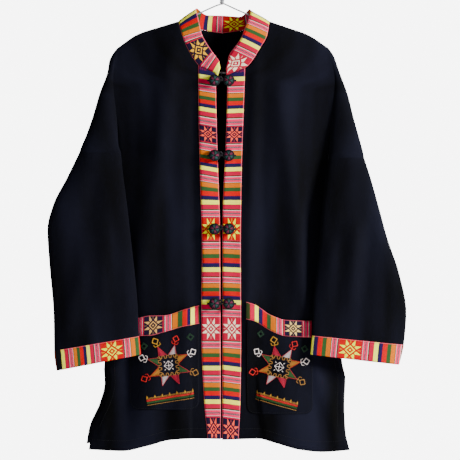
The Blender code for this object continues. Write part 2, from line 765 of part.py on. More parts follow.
def trim_on_front(side, name, layer, outline, material):
    """A trim made from the front's own points, moved out past the layers under it, and cut to its outline."""
    points, cells, directions = panel_grid(side, "front_crease")
    normals = outward_normals(points, cells)
    last = len(FRONT_COLUMNS) - 3
    cells = [cell for cell in cells if all(key[0] != "arm" and key[0] <= last and key[1] > 1 for key in cell)]
    kept = {key for cell in cells for key in cell}
    lift = layer * (SEAM_GAP + TRIM_WALL)
    moved = {key: point + normals[key] * lift for key, point in points.items() if key in kept}
    obj = cloth_solid(name, moved, cells, TRIM_WALL, material, {key: normals[key] for key in kept})
    cut = obj.modifiers.new("outline", "BOOLEAN")
    cut.operation = "INTERSECT"
    cut.object = make_cutter(name + "_outline", outline)


def make_placket(side, material):
    beyond = 30.0 * SIGN[side] * -1.0
    outer = PLACKET_OUTER[side]
    outline = list(outer) + [(beyond, outer[-1][1]), (beyond, outer[0][1])]
    trim_on_front(side, "placket_" + side, 1, outline, material)


def make_pocket(side, material):
    size = POCKET[side]
    inward = -SIGN[side]
    low, corner = size["low"], size["corner"]
    outline = [(size["outer"], size["top"]), (size["inner"], size["top_inner"])]
    for edge, turn, angles in (("inner", inward, (0, 30, 60, 90)), ("outer", -inward, (90, 60, 30, 0))):
        middle = size[edge] - turn * corner
        for angle in angles:
            x = middle + turn * corner * cos(radians(angle))
            outline.append((x, low + corner - corner * sin(radians(angle))))
    trim_on_front(side, "pocket_" + side, 1, outline, material)


def make_pocket_band(side, material):
    band = POCKET_BAND[side]
    steps = [i / 8.0 for i in range(9)]
    outline = [(band.at("x", t), band.at("top", t)) for t in steps]
    outline += [(band.at("x", t), band.at("low", t)) for t in reversed(steps)]
    trim_on_front(side, "pocket_band_" + side, 2, outline, material)


def make_knot(side, number, z, material):
    """A flattened cord knot, drawn out a little towards its partner and into a short tail."""
    x = KNOT_X[side]
    lift = SEAM_GAP + TRIM_WALL + KNOT_GAP
    middle = Vector((x, body_y(side, "front_crease", x, z) - lift - KNOT_DEPTH, z))
    bpy.ops.mesh.primitive_uv_sphere_add(segments=12, ring_count=7, radius=1.0)
    obj = bpy.context.object
    obj.name = obj.data.name = f"frog_{side}_{number}"
    for vertex in obj.data.vertices:
        outward = max(0.0, vertex.co.x * SIGN[side])
        wide = KNOT_RADIUS * (1.0 + 0.28 * outward**12)
        tall = KNOT_RADIUS * (1.0 - 0.1 * outward)
        spot = Vector((vertex.co.x * wide, vertex.co.y * KNOT_DEPTH, vertex.co.z * tall))
        vertex.co = (spot + middle) * MM
    obj.data.materials.append(material)
    obj.data.shade_smooth()
    for collection in obj.users_collection:
        collection.objects.unlink(obj)
    COLLECTION.objects.link(obj)


def arc(centre_x, centre_z, radius, start, end, count):
    """Points on an arc in the X-Z plane, its angles in degrees from +X towards +Z."""
    angles = [radians(mix(start, end, i / (count - 1))) for i in range(count)]
    return [Vector((centre_x + radius * cos(a), 0.0, centre_z + radius * sin(a))) for a in angles]


def shoulder_wire(side, shares):
    """Points of the wire under the shoulder seam."""
    table = SHOULDER[side]
    return [Vector((table.at("x", t), 0.0, table.at("z", t) - WIRE_UNDER_SEAM)) for t in shares]


def hanger_route():
    """The wire from the hook's tip, down the neck and once round, to the twist at the neck."""
    bend = HOOK_RADIUS + WIRE_RADIUS
    hook = arc(0.0, -HOOK_RADIUS, bend, *HOOK_ARC, 16)
    neck, right, left = ([Vector((x, 0.0, z)) for x, z in run] for run in (WIRE_NECK, WIRE_RIGHT, WIRE_LEFT))
    right += shoulder_wire("right", WIRE_SHARES)
    ends = [arc(*bend, count) for bend, count in zip(WIRE_BENDS, (5, 4, 4, 5))]
    left = shoulder_wire("left", reversed(WIRE_SHARES)) + left
    turns = []
    for i in range(TWIST_TURNS * TWIST_STEPS + 1):
        turn = i / TWIST_STEPS
        angle = radians(TWIST_START - 360.0 * turn)
        height = TWIST_LOW + TWIST_RISE * turn
        turns.append(Vector((TWIST_RADIUS * cos(angle), TWIST_RADIUS * sin(angle), height)))
    return hook + neck + right + sum(ends, []) + left + turns


def make_hanger(material):
    curve = bpy.data.curves.new("hanger", "CURVE")
    curve.dimensions = "3D"
    curve.bevel_depth = WIRE_RADIUS * MM
    curve.bevel_resolution = 2
    curve.use_fill_caps = True
    spline = curve.splines.new("POLY")
    route = hanger_route()
    spline.points.add(len(route) - 1)
    for point, spot in zip(spline.points, route):
        point.co = (*(spot * MM), 1.0)
    curve.materials.append(material)
    obj = bpy.data.objects.new("hanger", curve)
    COLLECTION.objects.link(obj)


def principled(name, colour, roughness, metallic=0.0):
    material = bpy.data.materials.new(name)
    material.use_nodes = True
    shader = material.node_tree.nodes["Principled BSDF"]
    shader.inputs["Base Color"].default_value = (*colour, 1.0)
    shader.inputs["Roughness"].default_value = roughness
    shader.inputs["Metallic"].default_value = metallic
    return material


for side in SIGN:
    make_panel(side, "front_crease", "front_" + side, principled("front_" + side, CLOTH_COLOUR, 0.85))
    make_panel(side, "back_crease", "back_" + side, principled("back_" + side, CLOTH_COLOUR, 0.85))
    cotton = principled("sleeve_" + side, CLOTH_COLOUR, 0.85)
    make_tube(side, SLEEVE_ROWS, "sleeve_" + side, PANEL_WALL, cotton)
    make_tube(side, CUFF_ROWS, "cuff_" + side, TRIM_WALL, principled("cuff_" + side, TRIM_COLOUR, 0.8))
    make_placket(side, principled("placket_" + side, TRIM_COLOUR, 0.8))
    make_pocket(side, principled("pocket_" + side, CLOTH_COLOUR, 0.85))
    make_pocket_band(side, principled("pocket_band_" + side, TRIM_COLOUR, 0.8))
    for number, height in enumerate(KNOT_Z, 1):
        make_knot(side, number, height, principled(f"frog_{side}_{number}", KNOT_COLOUR, 0.7))
make_collar(principled("collar", TRIM_COLOUR, 0.8))
make_hanger(principled("hanger", WIRE_COLOUR, 0.3, 1.0))
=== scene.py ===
from math import cos, exp, hypot, pi, radians, sin, sqrt

import bmesh
import bpy
from mathutils import Matrix, Vector, noise


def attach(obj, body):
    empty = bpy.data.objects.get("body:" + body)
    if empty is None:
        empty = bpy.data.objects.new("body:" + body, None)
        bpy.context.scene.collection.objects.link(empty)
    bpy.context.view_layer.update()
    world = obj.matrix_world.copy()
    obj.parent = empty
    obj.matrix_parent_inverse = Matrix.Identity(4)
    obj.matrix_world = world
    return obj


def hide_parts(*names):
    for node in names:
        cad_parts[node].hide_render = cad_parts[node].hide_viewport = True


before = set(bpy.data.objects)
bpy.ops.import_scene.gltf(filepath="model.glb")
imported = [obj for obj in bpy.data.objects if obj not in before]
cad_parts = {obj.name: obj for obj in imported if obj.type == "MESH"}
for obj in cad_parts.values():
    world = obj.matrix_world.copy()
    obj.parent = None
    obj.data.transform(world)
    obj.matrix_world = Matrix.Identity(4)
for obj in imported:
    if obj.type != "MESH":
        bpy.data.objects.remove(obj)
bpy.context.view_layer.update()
print("frame loaded")

mm = 0.001
sign = {"left": -1.0, "right": 1.0}


# small helpers for shapes

class SmoothTable:
    # rows under named columns, read smoothly between rows along the first column
    def __init__(self, columns, *rows):
        self.keys = [row[0] for row in rows]
        self.columns = {name: [row[i] for row in rows] for i, name in enumerate(columns.split())}
        self.slopes = {name: self.findSlopes(values) for name, values in self.columns.items()}

    def findSlopes(self, values):
        keys = self.keys
        steps = [(values[i + 1] - values[i]) / (keys[i + 1] - keys[i]) for i in range(len(keys) - 1)]
        middle = [0.0 if a * b <= 0.0 else 2.0 * a * b / (a + b) for a, b in zip(steps, steps[1:])]
        return [steps[0]] + middle + [steps[-1]]

    def at(self, column, key):
        keys, values, slopes = self.keys, self.columns[column], self.slopes[column]
        key = min(max(key, keys[0]), keys[-1])
        i = 0
        while i < len(keys) - 2 and keys[i + 1] <= key:
            i += 1
        gap = keys[i + 1] - keys[i]
        t = (key - keys[i]) / gap
        return (
            values[i] * (2 * t**3 - 3 * t**2 + 1)
            + slopes[i] * gap * (t**3 - 2 * t**2 + t)
            + values[i + 1] * (3 * t**2 - 2 * t**3)
            + slopes[i + 1] * gap * (t**3 - t**2)
        )


def clamp(value, low=0.0, high=1.0):
    return min(max(value, low), high)


def ease(t):
    t = clamp(t)
    return t * t * (3.0 - 2.0 * t)


def quarterRound(t):
    return sqrt(1.0 - (1.0 - clamp(t)) ** 2)


def mix(a, b, t):
    return a + (b - a) * t


def finer(values, parts):
    # puts more steps between the values
    result = []
    for a, b in zip(values, values[1:]):
        result += [mix(a, b, i / parts) for i in range(parts)]
    return result + [values[-1]]


# the jacket's form in millimetres: its solids' form, with deeper folds and a finer line of the hem

body = {
    "frontDepth": 20.0,
    "backDepth": 20.0,
    "underarmClear": 0.4,
    "shoulderDrop": 75.0,
    "armHeight": 182.0,
    "sideReach": 90.0,
    "sideRound": 8.0,
    "edgeShare": 0.3,
    "underarmShare": 0.13,
    "tipBulge": 4.0,
    "flatness": 0.75,
    "slitDrop": 396.0,
    "slitOpen": 1.0,
    "backHem": SmoothTable("across z", (0, -886.5), (0.1, -880), (0.4, -884), (0.6, -890), (1, -894)),
    "underarmAngle": 15.0,
    "clothThickness": 1.1,
    "slitRamp": 60.0,
    "cornerAngles": (60.0, 120.0),
    "armCrumpleFrom": 0.8,
    "armBackRise": 0.6,
    "seamFade": 15.0,
    "sideFade": 25.0,
    "edgeStart": 25.0,
    "edgeFade": 40.0,
    "edgeFadeBelow": 45.0,
    "foldDepth": 1.45,
    "foldFade": 0.3,
    "foldPast": 0.12,
}
crumpling = {
    "height": 1.6,
    "broad": {"share": 1.5, "across": 0.018, "down": 0.0055},
    "fine": {"share": 0.5, "across": 0.05, "down": 0.017, "lean": 0.006},
    "layerStep": 9.7,
    "fineShift": 40.0,
}
leftShoulder = ((0, -82, -109), (0.3, -115, -119), (0.65, -156, -132.5), (1, -194.7, -158.5))
rightShoulder = ((0, 89, -109), (0.3, 118, -119), (0.65, 160, -134), (1, 198, -158.5))
shoulder = {
    "left": SmoothTable("along x z", *leftShoulder),
    "right": SmoothTable("along x z", *rightShoulder),
}
armColumns = "down outerX outerZ ridgeX ridgeZ depth middleY frontCrease backCrease"
arm = {
    "left": SmoothTable(
        armColumns,
        (0.00, -209, -190, -190, -148, 13.0, 0.0, -60, 60),
        (0.15, -213, -207, -196, -182, 13.5, -1.0, -54, 68),
        (0.35, -227, -242, -199, -220, 14.0, -2.5, -40, 68),
        (0.60, -241, -289, -197, -268, 15.0, -4.0, -17, 48),
        (0.82, -254, -325, -194, -310, 15.5, -5.2, 3, 27),
        (1.00, -261, -341, -192, -341, 16.0, -5.8, 15, 15),
        (2.00, -265, -353, -187.5, -353, 15.5, -10.0, 15, 15),
        (2.15, -286, -398, -184, -388, 15.0, -19.5, 15, 15),
        (2.32, -313, -452, -177, -440, 14.5, -25.5, 15, 15),
        (2.46, -323, -496, -171, -490, 14.0, -28.5, 15, 15),
        (2.65, -319, -560, -164, -550, 13.5, -31.0, 15, 15),
        (2.85, -311, -655, -156, -632, 12.5, -32.5, 15, 15),
        (3.00, -310, -720, -153, -693, 12.0, -33.0, 15, 15),
        (4.00, -305, -757, -150, -727, 12.0, -33.0, 15, 15),
    ),
    "right": SmoothTable(
        armColumns,
        (0.00, 210, -188, 193, -148, 13.0, 0.0, -60, 60),
        (0.15, 219, -208, 201, -182, 13.5, -1.0, -54, 68),
        (0.35, 233, -243, 207, -222, 14.0, -2.5, -40, 68),
        (0.60, 246, -293, 205, -272, 15.0, -4.0, -17, 48),
        (0.82, 257, -332, 201, -318, 15.5, -5.2, 3, 27),
        (1.00, 262, -351, 198.5, -351, 16.0, -5.8, 15, 15),
        (2.00, 264, -363, 197.5, -363, 15.5, -10.0, 15, 15),
        (2.15, 277, -405, 192, -400, 15.0, -19.5, 15, 15),
        (2.32, 292, -460, 186, -450, 14.5, -25.5, 15, 15),
        (2.46, 306, -512, 182.5, -497, 14.0, -28.5, 15, 15),
        (2.65, 328, -578, 176, -568, 13.5, -31.0, 15, 15),
        (2.85, 341, -650, 169, -632, 12.5, -32.5, 15, 15),
        (3.00, 336, -709, 167, -692, 12.0, -33.0, 15, 15),
        (4.00, 327, -746, 164, -727, 12.0, -33.0, 15, 15),
    ),
}
leftSeam = ((0, 0), (12, -3), (50, 9), (110, 17), (404, 21), (440, 19), (480, 29), (520, 47), (567, 55))
rightSeam = ((0, 0), (12, -1.6), (50, 7), (110, 14), (394, 24), (420, 30), (470, 28), (520, 30), (555, 38))
sideSeam = {"left": SmoothTable("drop out", *leftSeam), "right": SmoothTable("drop out", *rightSeam)}
backSideOut = {"left": 6.0, "right": 0.0}
neckShare = 0.47
frontEdge = {
    "left": SmoothTable(
        "down x z",
        (0, -82, -109), (0.13, -72, -143), (0.24, -60.5, -168), (0.35, -43.5, -192),
        (neckShare, -11, -211), (0.64, -10.6, -250), (1, -8.5, -341),
    ),
    "right": SmoothTable(
        "down x z",
        (0, 89, -109), (0.13, 84, -137), (0.24, 71, -160), (0.36, 48, -193.5), (neckShare, 10, -213),
        (0.64, 9.2, -252), (1, 6, -351),
    ),
}
frontEdgeLow = {
    "left": SmoothTable("drop x", (0, -8.5), (60, -6.5), (150, -3.5), (250, -2.8), (543, -2)),
    "right": SmoothTable("drop x", (0, 6), (60, 3), (130, 0.8), (533, 0.5)),
}
leftHem = ((0, -884.5), (0.2, -883.5), (0.38, -886), (0.55, -897), (0.75, -907), (1, -905))
rightHem = ((0, -886), (0.28, -884), (0.42, -892), (0.6, -904), (0.8, -909), (1, -906))
frontHem = {"left": SmoothTable("across z", *leftHem), "right": SmoothTable("across z", *rightHem)}
backNeckShare = 0.3
backNeck = SmoothTable(
    "down spread z", (0, 1, -109), (0.1, 0.72, -118), (0.2, 0.38, -125), (backNeckShare, 0, -130)
)

# every fold: its upper end, its lower end, half its width, and how far it lifts the cloth
frontFolds = {
    "left": (
        (-92, -150, -118, -380, 20, 4.5), (-118, -380, -157, -590, 22, 4.0),
        (-56, -240, -50, -640, 11, -3.0), (-60, -640, -80, -870, 16, 3.0),
        (-172, -480, -176, -880, 13, -3.0), (-205, -740, -232, -900, 13, 3.0),
        (-128, -700, -140, -890, 22, 2.5),
    ),
    "right": (
        (64, -165, 50, -480, 12, 3.5), (50, -480, 48, -780, 12, 3.5), (103, -225, 135, -450, 20, 4.5),
        (135, -450, 157, -660, 20, 4.5), (158, -430, 176, -700, 11, -3.0), (173, -745, 219, -895, 16, 4.0),
        (100, -650, 112, -880, 20, 2.5), (75, -300, 82, -640, 12, -2.0),
    ),
}
sleeveFolds = {
    "left": (
        (-240, -480, -290, -700, 17, 3.5), (-212, -480, -222, -640, 13, 3.0),
        (-235, -400, -252, -560, 16, -2.5), (-262, -560, -300, -620, 12, -2.0),
    ),
    "right": (
        (203, -520, 190, -640, 12, 3.0), (250, -490, 234, -640, 14, 3.5), (298, -500, 334, -640, 16, 3.5),
        (270, -470, 262, -640, 13, -2.5),
    ),
}
backFolds = {
    "left": (
        (-70, -170, -100, -520, 24, 3.5), (-130, -400, -165, -780, 22, 4.0),
        (-40, -420, -52, -880, 18, -3.0), (-95, -560, -110, -880, 18, 3.0),
    ),
    "right": (
        (84, -180, 96, -560, 22, 3.5), (122, -420, 170, -830, 22, 4.0), (46, -380, 44, -880, 18, 3.0),
        (90, -620, 104, -880, 16, -3.0),
    ),
}
# the soft tuck beside each placket, with its edge's two places, at its top and further down
tuck = {
    "top": -730.0,
    "height": 4.5,
    "width": 5.0,
    "ramp": 90.0,
    "lean": 150.0,
    "reach": 110.0,
    "left": (-56.0, -55.0),
    "right": (58.0, 76.0),
}


def foldRise(x, z, folds):
    rise = 0.0
    for topX, topZ, lowX, lowZ, halfWidth, height in folds:
        runX, runZ = lowX - topX, lowZ - topZ
        length = hypot(runX, runZ)
        along = ((x - topX) * runX + (z - topZ) * runZ) / length**2
        aside = ((x - topX) * runZ - (z - topZ) * runX) / length
        past, ramp = body["foldPast"], body["foldFade"]
        fade = ease((along + past) / ramp) * ease((1.0 + past - along) / ramp)
        rise += body["foldDepth"] * height * fade * exp(-((aside / halfWidth) ** 2))
    return rise


def crumple(x, z, layer):
    # the small soft unevenness of hanging cotton, drawn out downwards
    broad, fine = crumpling["broad"], crumpling["fine"]
    depth = layer * crumpling["layerStep"]
    wide = noise.noise(Vector((x * broad["across"], depth, z * broad["down"])))
    lean = z * fine["lean"]
    small = noise.noise(Vector((x * fine["across"] + lean, depth + crumpling["fineShift"], z * fine["down"])))
    return crumpling["height"] * (broad["share"] * wide + fine["share"] * small)


def tuckRise(x, z, side):
    drop = tuck["top"] - z
    edge = mix(*tuck[side], clamp(drop / tuck["lean"]))
    beyond = (x - edge) * sign[side]
    fade = ease(beyond / tuck["width"]) * ease((tuck["reach"] - beyond) / tuck["ramp"])
    return tuck["height"] * ease(drop / tuck["ramp"]) * fade


def armRounding(down):
    return quarterRound(down * body["armHeight"] / body["shoulderDrop"])


def ringPoint(side, down, angle):
    # a point on the arm's ring: 0 degrees is the ridge over the body, -90 the front
    table = arm[side]
    outer = Vector((table.at("outerX", down), 0.0, table.at("outerZ", down)))
    ridge = Vector((table.at("ridgeX", down), 0.0, table.at("ridgeZ", down)))
    half = (ridge - outer) / 2.0
    point = outer + half + half * cos(radians(angle))
    swing = sin(radians(angle))
    rounding = armRounding(down)
    depth = table.at("depth", down) * rounding * (abs(swing) ** body["flatness"])
    point.y = table.at("middleY", down) * rounding + depth * (1 if swing > 0 else -1)
    if down < 1.0:
        first, span = body["cornerAngles"]
        corner = body["tipBulge"] * (1.0 - down) ** 4 * sin(pi * clamp((abs(angle) - first) / span))
        point += Vector((-half.z, 0.0, half.x)).normalized() * corner * sign[side] * -1.0
    rise = foldRise(point.x, point.z, sleeveFolds[side]) * abs(swing) * ease(down - 1.0)
    fade = ease((down - body["armCrumpleFrom"]) / body["armCrumpleFrom"])
    rise += crumple(point.x, point.z, 3.0 + sign[side]) * abs(swing) * fade
    point.y += -rise if swing < 0.0 else body["armBackRise"] * rise
    return point


def creaseTable(side, which):
    rows = []
    for step in range(40, -1, -1):
        down = step / 40.0
        point = ringPoint(side, down, arm[side].at(which, down))
        rows.append((point.z, point.x, point.y / armRounding(max(down, 0.02))))
    rows[-1] = (*rows[-1][:2], rows[-2][2])
    return SmoothTable("z x y", *rows)


crease = {(side, which): creaseTable(side, which) for side in sign for which in ("frontCrease", "backCrease")}
shoulderByX = {}
for side in sign:
    line = shoulder[side]
    spots = [(line.at("x", i / 40.0) * sign[side], line.at("z", i / 40.0)) for i in range(41)]
    shoulderByX[side] = SmoothTable("x z", *spots)


def underarmZ(side):
    return crease[side, "frontCrease"].keys[0]


def sideEdge(side, which, z):
    # the x and y of the crease between body and arm, and of the side seam below the arm
    table = crease[side, which]
    drop = underarmZ(side) - z
    if drop <= 0.0:
        return table.at("x", z), table.at("y", z)
    out = sideSeam[side].at("out", drop)
    if which == "backCrease":
        out += backSideOut[side] * ease((drop - body["slitDrop"] + 20.0) / 40.0)
    return table.at("x", -1000) + out * sign[side], table.at("y", -1000)


def edgeShare(above):
    if above > 0.0:
        return body["underarmShare"] * (1.0 - ease((above - body["edgeStart"]) / body["edgeFade"]))
    return mix(body["underarmShare"], body["edgeShare"], ease(-above / body["edgeFadeBelow"]))


def bodyY(side, which, x, z):
    # the outer surface of the front or back over a point of the picture plane
    edgeX, edgeY = sideEdge(side, which, z)
    inward = max(0.0, (edgeX - x) * sign[side])
    beside = max(0.0, (shoulder[side].at("x", 0) - x) * sign[side])
    below = max(0.0, shoulderByX[side].at("z", x * sign[side]) - z)
    dome = quarterRound(hypot(beside, below) / body["shoulderDrop"])
    share = edgeShare(z - underarmZ(side))
    reach = share * quarterRound(inward / body["sideRound"])
    reach += (1.0 - share) * ease(inward / body["sideReach"])
    if which == "frontCrease":
        rise = -foldRise(x, z, frontFolds[side]) - tuckRise(x, z, side) - crumple(x, z, 1.0)
        full = -body["frontDepth"]
    else:
        rise = (foldRise(x, z, backFolds[side]) + crumple(x, z, 2.0)) * ease(abs(x) / body["seamFade"])
        full = body["backDepth"]
    return dome * (mix(edgeY, full, reach) + rise * ease(inward / body["sideFade"]))


def surfaceNormal(side, which, x, z):
    reach = 1.5
    slopeX = (bodyY(side, which, x + reach, z) - bodyY(side, which, x - reach, z)) / (2.0 * reach)
    slopeZ = (bodyY(side, which, x, z + reach) - bodyY(side, which, x, z - reach)) / (2.0 * reach)
    outward = Vector((slopeX, -1.0, slopeZ)).normalized()
    return outward if which == "frontCrease" else -outward


def clothSpot(side, which, x, z, lift):
    return Vector((x, bodyY(side, which, x, z), z)) + surfaceNormal(side, which, x, z) * lift


def frontPoint(side, x, z, lift):
    return clothSpot(side, "frontCrease", x, z, lift)


def gridCells(columns, rows, flipped=False, downFirst=False):
    # the cells between the points of a grid
    cells = []
    for i in range(columns):
        for j in range(rows):
            cell = ((i, j), (i + 1, j), (i + 1, j + 1), (i, j + 1))
            if downFirst:
                cell = (cell[0], *cell[:0:-1])
            cells.append(tuple(reversed(cell)) if flipped else cell)
    return cells


# panels, each a grid of points under keys (column, row)

panel = {
    "frontColumns": (0, 0.09, 0.17, 0.21, 0.25, 0.33, 0.42, 0.51, 0.6, 0.69, 0.77, 0.84, 0.9, 0.95, 0.98, 1),
    "frontUpper": (0, 0.015, 0.05, 0.11, 0.18, 0.25, 0.32, 0.39, neckShare, 0.6, 0.74, 0.87, 1),
    "backUpper": (0, 0.015, 0.05, 0.1, 0.15, 0.2, 0.25, backNeckShare, 0.4, 0.5, 0.62, 0.74, 0.87, 1),
    "frontLower": (0, 0.022, 0.09, 0.19, 0.31, 0.43, 0.55, 0.65, 0.72, 0.79, 0.86, 0.93, 1),
    "backColumns": (0, 0.1, 0.22, 0.34, 0.46, 0.58, 0.7, 0.8, 0.88, 0.94, 0.98, 1),
    "backLower": (0, 0.022, 0.09, 0.21, 0.35, 0.49, 0.61, 0.7, 0.8, 0.9, 1),
    "ringSteps": (0, 0.06, 0.15, 0.29, 0.45, 0.61, 0.77, 0.91, 1),
    "sleeveRows": (2.0, 2.006, 2.02, 2.07, 2.15, 2.24, 2.33, 2.41, 2.5, 2.62, 2.74, 2.87, 2.98, 3.0),
    "cuffRows": (3.0, 3.04, 3.5, 3.96, 4.0),
    "parts": 4,
}


def patchEdges(side, which):
    front = which == "frontCrease"
    level = underarmZ(side)

    def top(t):
        return Vector((shoulder[side].at("x", t), shoulder[side].at("z", t)))

    def inner(t):
        if front:
            return Vector((frontEdge[side].at("x", t), frontEdge[side].at("z", t)))
        if t < backNeckShare:
            return Vector((backNeck.at("spread", t) * shoulder[side].at("x", 0), backNeck.at("z", t)))
        return Vector((0.0, mix(backNeck.at("z", 1), level, (t - backNeckShare) / (1.0 - backNeckShare))))

    def outer(t):
        point = ringPoint(side, t, arm[side].at(which, t))
        return Vector((point.x, point.z))

    def underarmLine(t):
        return inner(1).lerp(outer(1), t)

    def hemZ(t):
        return frontHem[side].at("z", t) if front else body["backHem"].at("z", t)

    def innerLow(t):
        z = mix(level, hemZ(0), t)
        return Vector((frontEdgeLow[side].at("x", level - z) if front else 0.0, z))

    def outerLow(t):
        z = mix(level, hemZ(1), t)
        return Vector((sideEdge(side, which, z - 0.01)[0], z))

    def hem(t):
        return Vector((mix(innerLow(1).x, outerLow(1).x, t), hemZ(t)))

    return (top, underarmLine, inner, outer), (underarmLine, hem, innerLow, outerLow)


def patchGrid(edges, columns, rows):
    # a smooth patch between four edge curves, as a table of flat points
    top, low, inner, outer = edges
    tops, lows = [top(c) for c in columns], [low(c) for c in columns]
    inners, outers = [inner(r) for r in rows], [outer(r) for r in rows]
    corners = top(0), top(1), low(0), low(1)
    result = {}
    for i, c in enumerate(columns):
        for j, r in enumerate(rows):
            blend = corners[0] * (1 - c) * (1 - r) + corners[1] * c * (1 - r)
            blend = blend + corners[2] * (1 - c) * r + corners[3] * c * r
            result[i, j] = tops[i] * (1 - r) + lows[i] * r + inners[j] * (1 - c) + outers[j] * c - blend
    return result


def panelPoints(side, which):
    front = which == "frontCrease"
    toward = -1.0 if front else 1.0
    columns = finer(panel["frontColumns" if front else "backColumns"], panel["parts"])
    upperRows = finer(panel["frontUpper" if front else "backUpper"], panel["parts"])
    lowerRows = finer(panel["frontLower" if front else "backLower"], panel["parts"])
    steps = finer(panel["ringSteps"], panel["parts"])
    upper, lower = patchEdges(side, which)
    last, level = len(columns) - 1, len(upperRows) - 1
    flat = patchGrid(upper, columns, upperRows)
    flat.update({(i, j + level): spot for (i, j), spot in patchGrid(lower, columns, lowerRows).items()})
    points = {key: Vector((spot.x, bodyY(side, which, spot.x, spot.y), spot.y)) for key, spot in flat.items()}
    rows = level + len(lowerRows)
    for i in range(last + 1):
        points[i, 0].y = 0.0
    for j in range(level, rows):
        below = underarmZ(side) - points[last, j].z
        opening = body["slitOpen"] * ease((below - body["slitDrop"]) / body["slitRamp"])
        clear = 0.0 if front else body["underarmClear"] * (1.0 - ease((below - 12.0) / 25.0))
        points[last, j].y += toward * opening + clear
    armRows = upperRows + finer((1.0, 1.5, 1.98, 2.0), panel["parts"])[1:]
    for j, down in enumerate(armRows):
        start = arm[side].at(which, down)
        for k, share in enumerate(steps):
            if k == 0 and j <= level:
                continue
            point = ringPoint(side, down, mix(start, toward * 180.0, share))
            if j == 0:
                point.y = 0.0
            elif k == 0 and not front:
                point.y += body["underarmClear"]
            points[armKey(k, j, last, level)] = point
    cells = gridCells(last, rows - 1)
    for j in range(len(armRows) - 1):
        for k in range(len(steps) - 1):
            ring = ((k, j), (k + 1, j), (k + 1, j + 1), (k, j + 1))
            cells.append(tuple(armKey(*corner, last, level) for corner in ring))
    if (side == "right") == front:
        cells = [tuple(reversed(cell)) for cell in cells]
    flatPlace = measurePanel(points, last, rows, len(steps), len(armRows), level)
    return points, cells, flatPlace


def armKey(step, row, last, level):
    return (last + step, row) if row <= level else ("arm", step, row)


def measurePanel(points, last, rows, steps, armRows, level):
    # where each point lies in the flat cloth, measured along the grid, for the weave
    place = {}
    for j in range(rows):
        for i in range(last + 1):
            u = place[i - 1, j][0] + (points[i, j] - points[i - 1, j]).length if i else 0.0
            v = place[i, j - 1][1] + (points[i, j] - points[i, j - 1]).length if j else 0.0
            place[i, j] = (u, v)
    for j in range(armRows):
        for k in range(steps):
            key, before, above = (armKey(*spot, last, level) for spot in ((k, j), (k - 1, j), (k, j - 1)))
            if key in place:
                continue
            u = place[before][0] + (points[key] - points[before]).length if k else place[last, level][0]
            v = place[above][1] + (points[key] - points[above]).length if j else 0.0
            place[key] = (u, v)
    return {key: (u * mm, v * mm) for key, (u, v) in place.items()}


def newPiece(name, data):
    piece = bpy.data.objects.new(name, data)
    bpy.context.scene.collection.objects.link(piece)
    return piece


def clothSheet(name, points, cells, place, material, thickness, joined=None):
    # a sheet from its grid, with its wall grown inwards and its flat place as a UV map
    joined = joined or {}
    mesh = bpy.data.meshes.new(name)
    sheet = bmesh.new()
    uvMap = sheet.loops.layers.uv.new("flat")
    made = {key: sheet.verts.new(point * mm) for key, point in points.items()}
    for cell in cells:
        face = sheet.faces.new([made[joined.get(key, key)] for key in cell])
        for loop, key in zip(face.loops, cell):
            loop[uvMap].uv = place[key]
    sheet.verts.ensure_lookup_table()
    loose = [vert for vert in sheet.verts if not vert.link_faces]
    bmesh.ops.delete(sheet, geom=loose, context="VERTS")
    sheet.to_mesh(mesh)
    sheet.free()
    mesh.shade_smooth()
    mesh.materials.append(material)
    piece = newPiece(name, mesh)
    wall = piece.modifiers.new("wall", "SOLIDIFY")
    wall.thickness = thickness * mm
    wall.offset = -1.0
    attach(piece, "root")
    return piece


def areaOf(piece):
    # square metres of the sheet's outer face
    return sum(polygon.area for polygon in piece.data.polygons)


def keepPiece(piece, node):
    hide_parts(node)
    print(piece.name, "area", round(areaOf(piece), 5))


# helpers for shaders

class Flow:
    # a value in a node tree that adds, multiplies and compares as a number does
    def __init__(self, kit, socket):
        self.kit, self.socket = kit, socket

    def __abs__(self):
        return self.kit.math("ABSOLUTE", self)

    def __add__(self, other):
        return self.kit.math("ADD", self, other)

    def __sub__(self, other):
        return self.kit.math("SUBTRACT", self, other)

    def __rsub__(self, other):
        return self.kit.math("SUBTRACT", other, self)

    def __mul__(self, other):
        return self.kit.math("MULTIPLY", self, other)

    def __truediv__(self, other):
        return self.kit.math("DIVIDE", self, other)

    def __rtruediv__(self, other):
        return self.kit.math("DIVIDE", other, self)

    def __mod__(self, other):
        return self.kit.math("FLOORED_MODULO", self, other)

    def __gt__(self, other):
        return self.kit.math("GREATER_THAN", self, other)

    def __lt__(self, other):
        return self.kit.math("LESS_THAN", self, other)


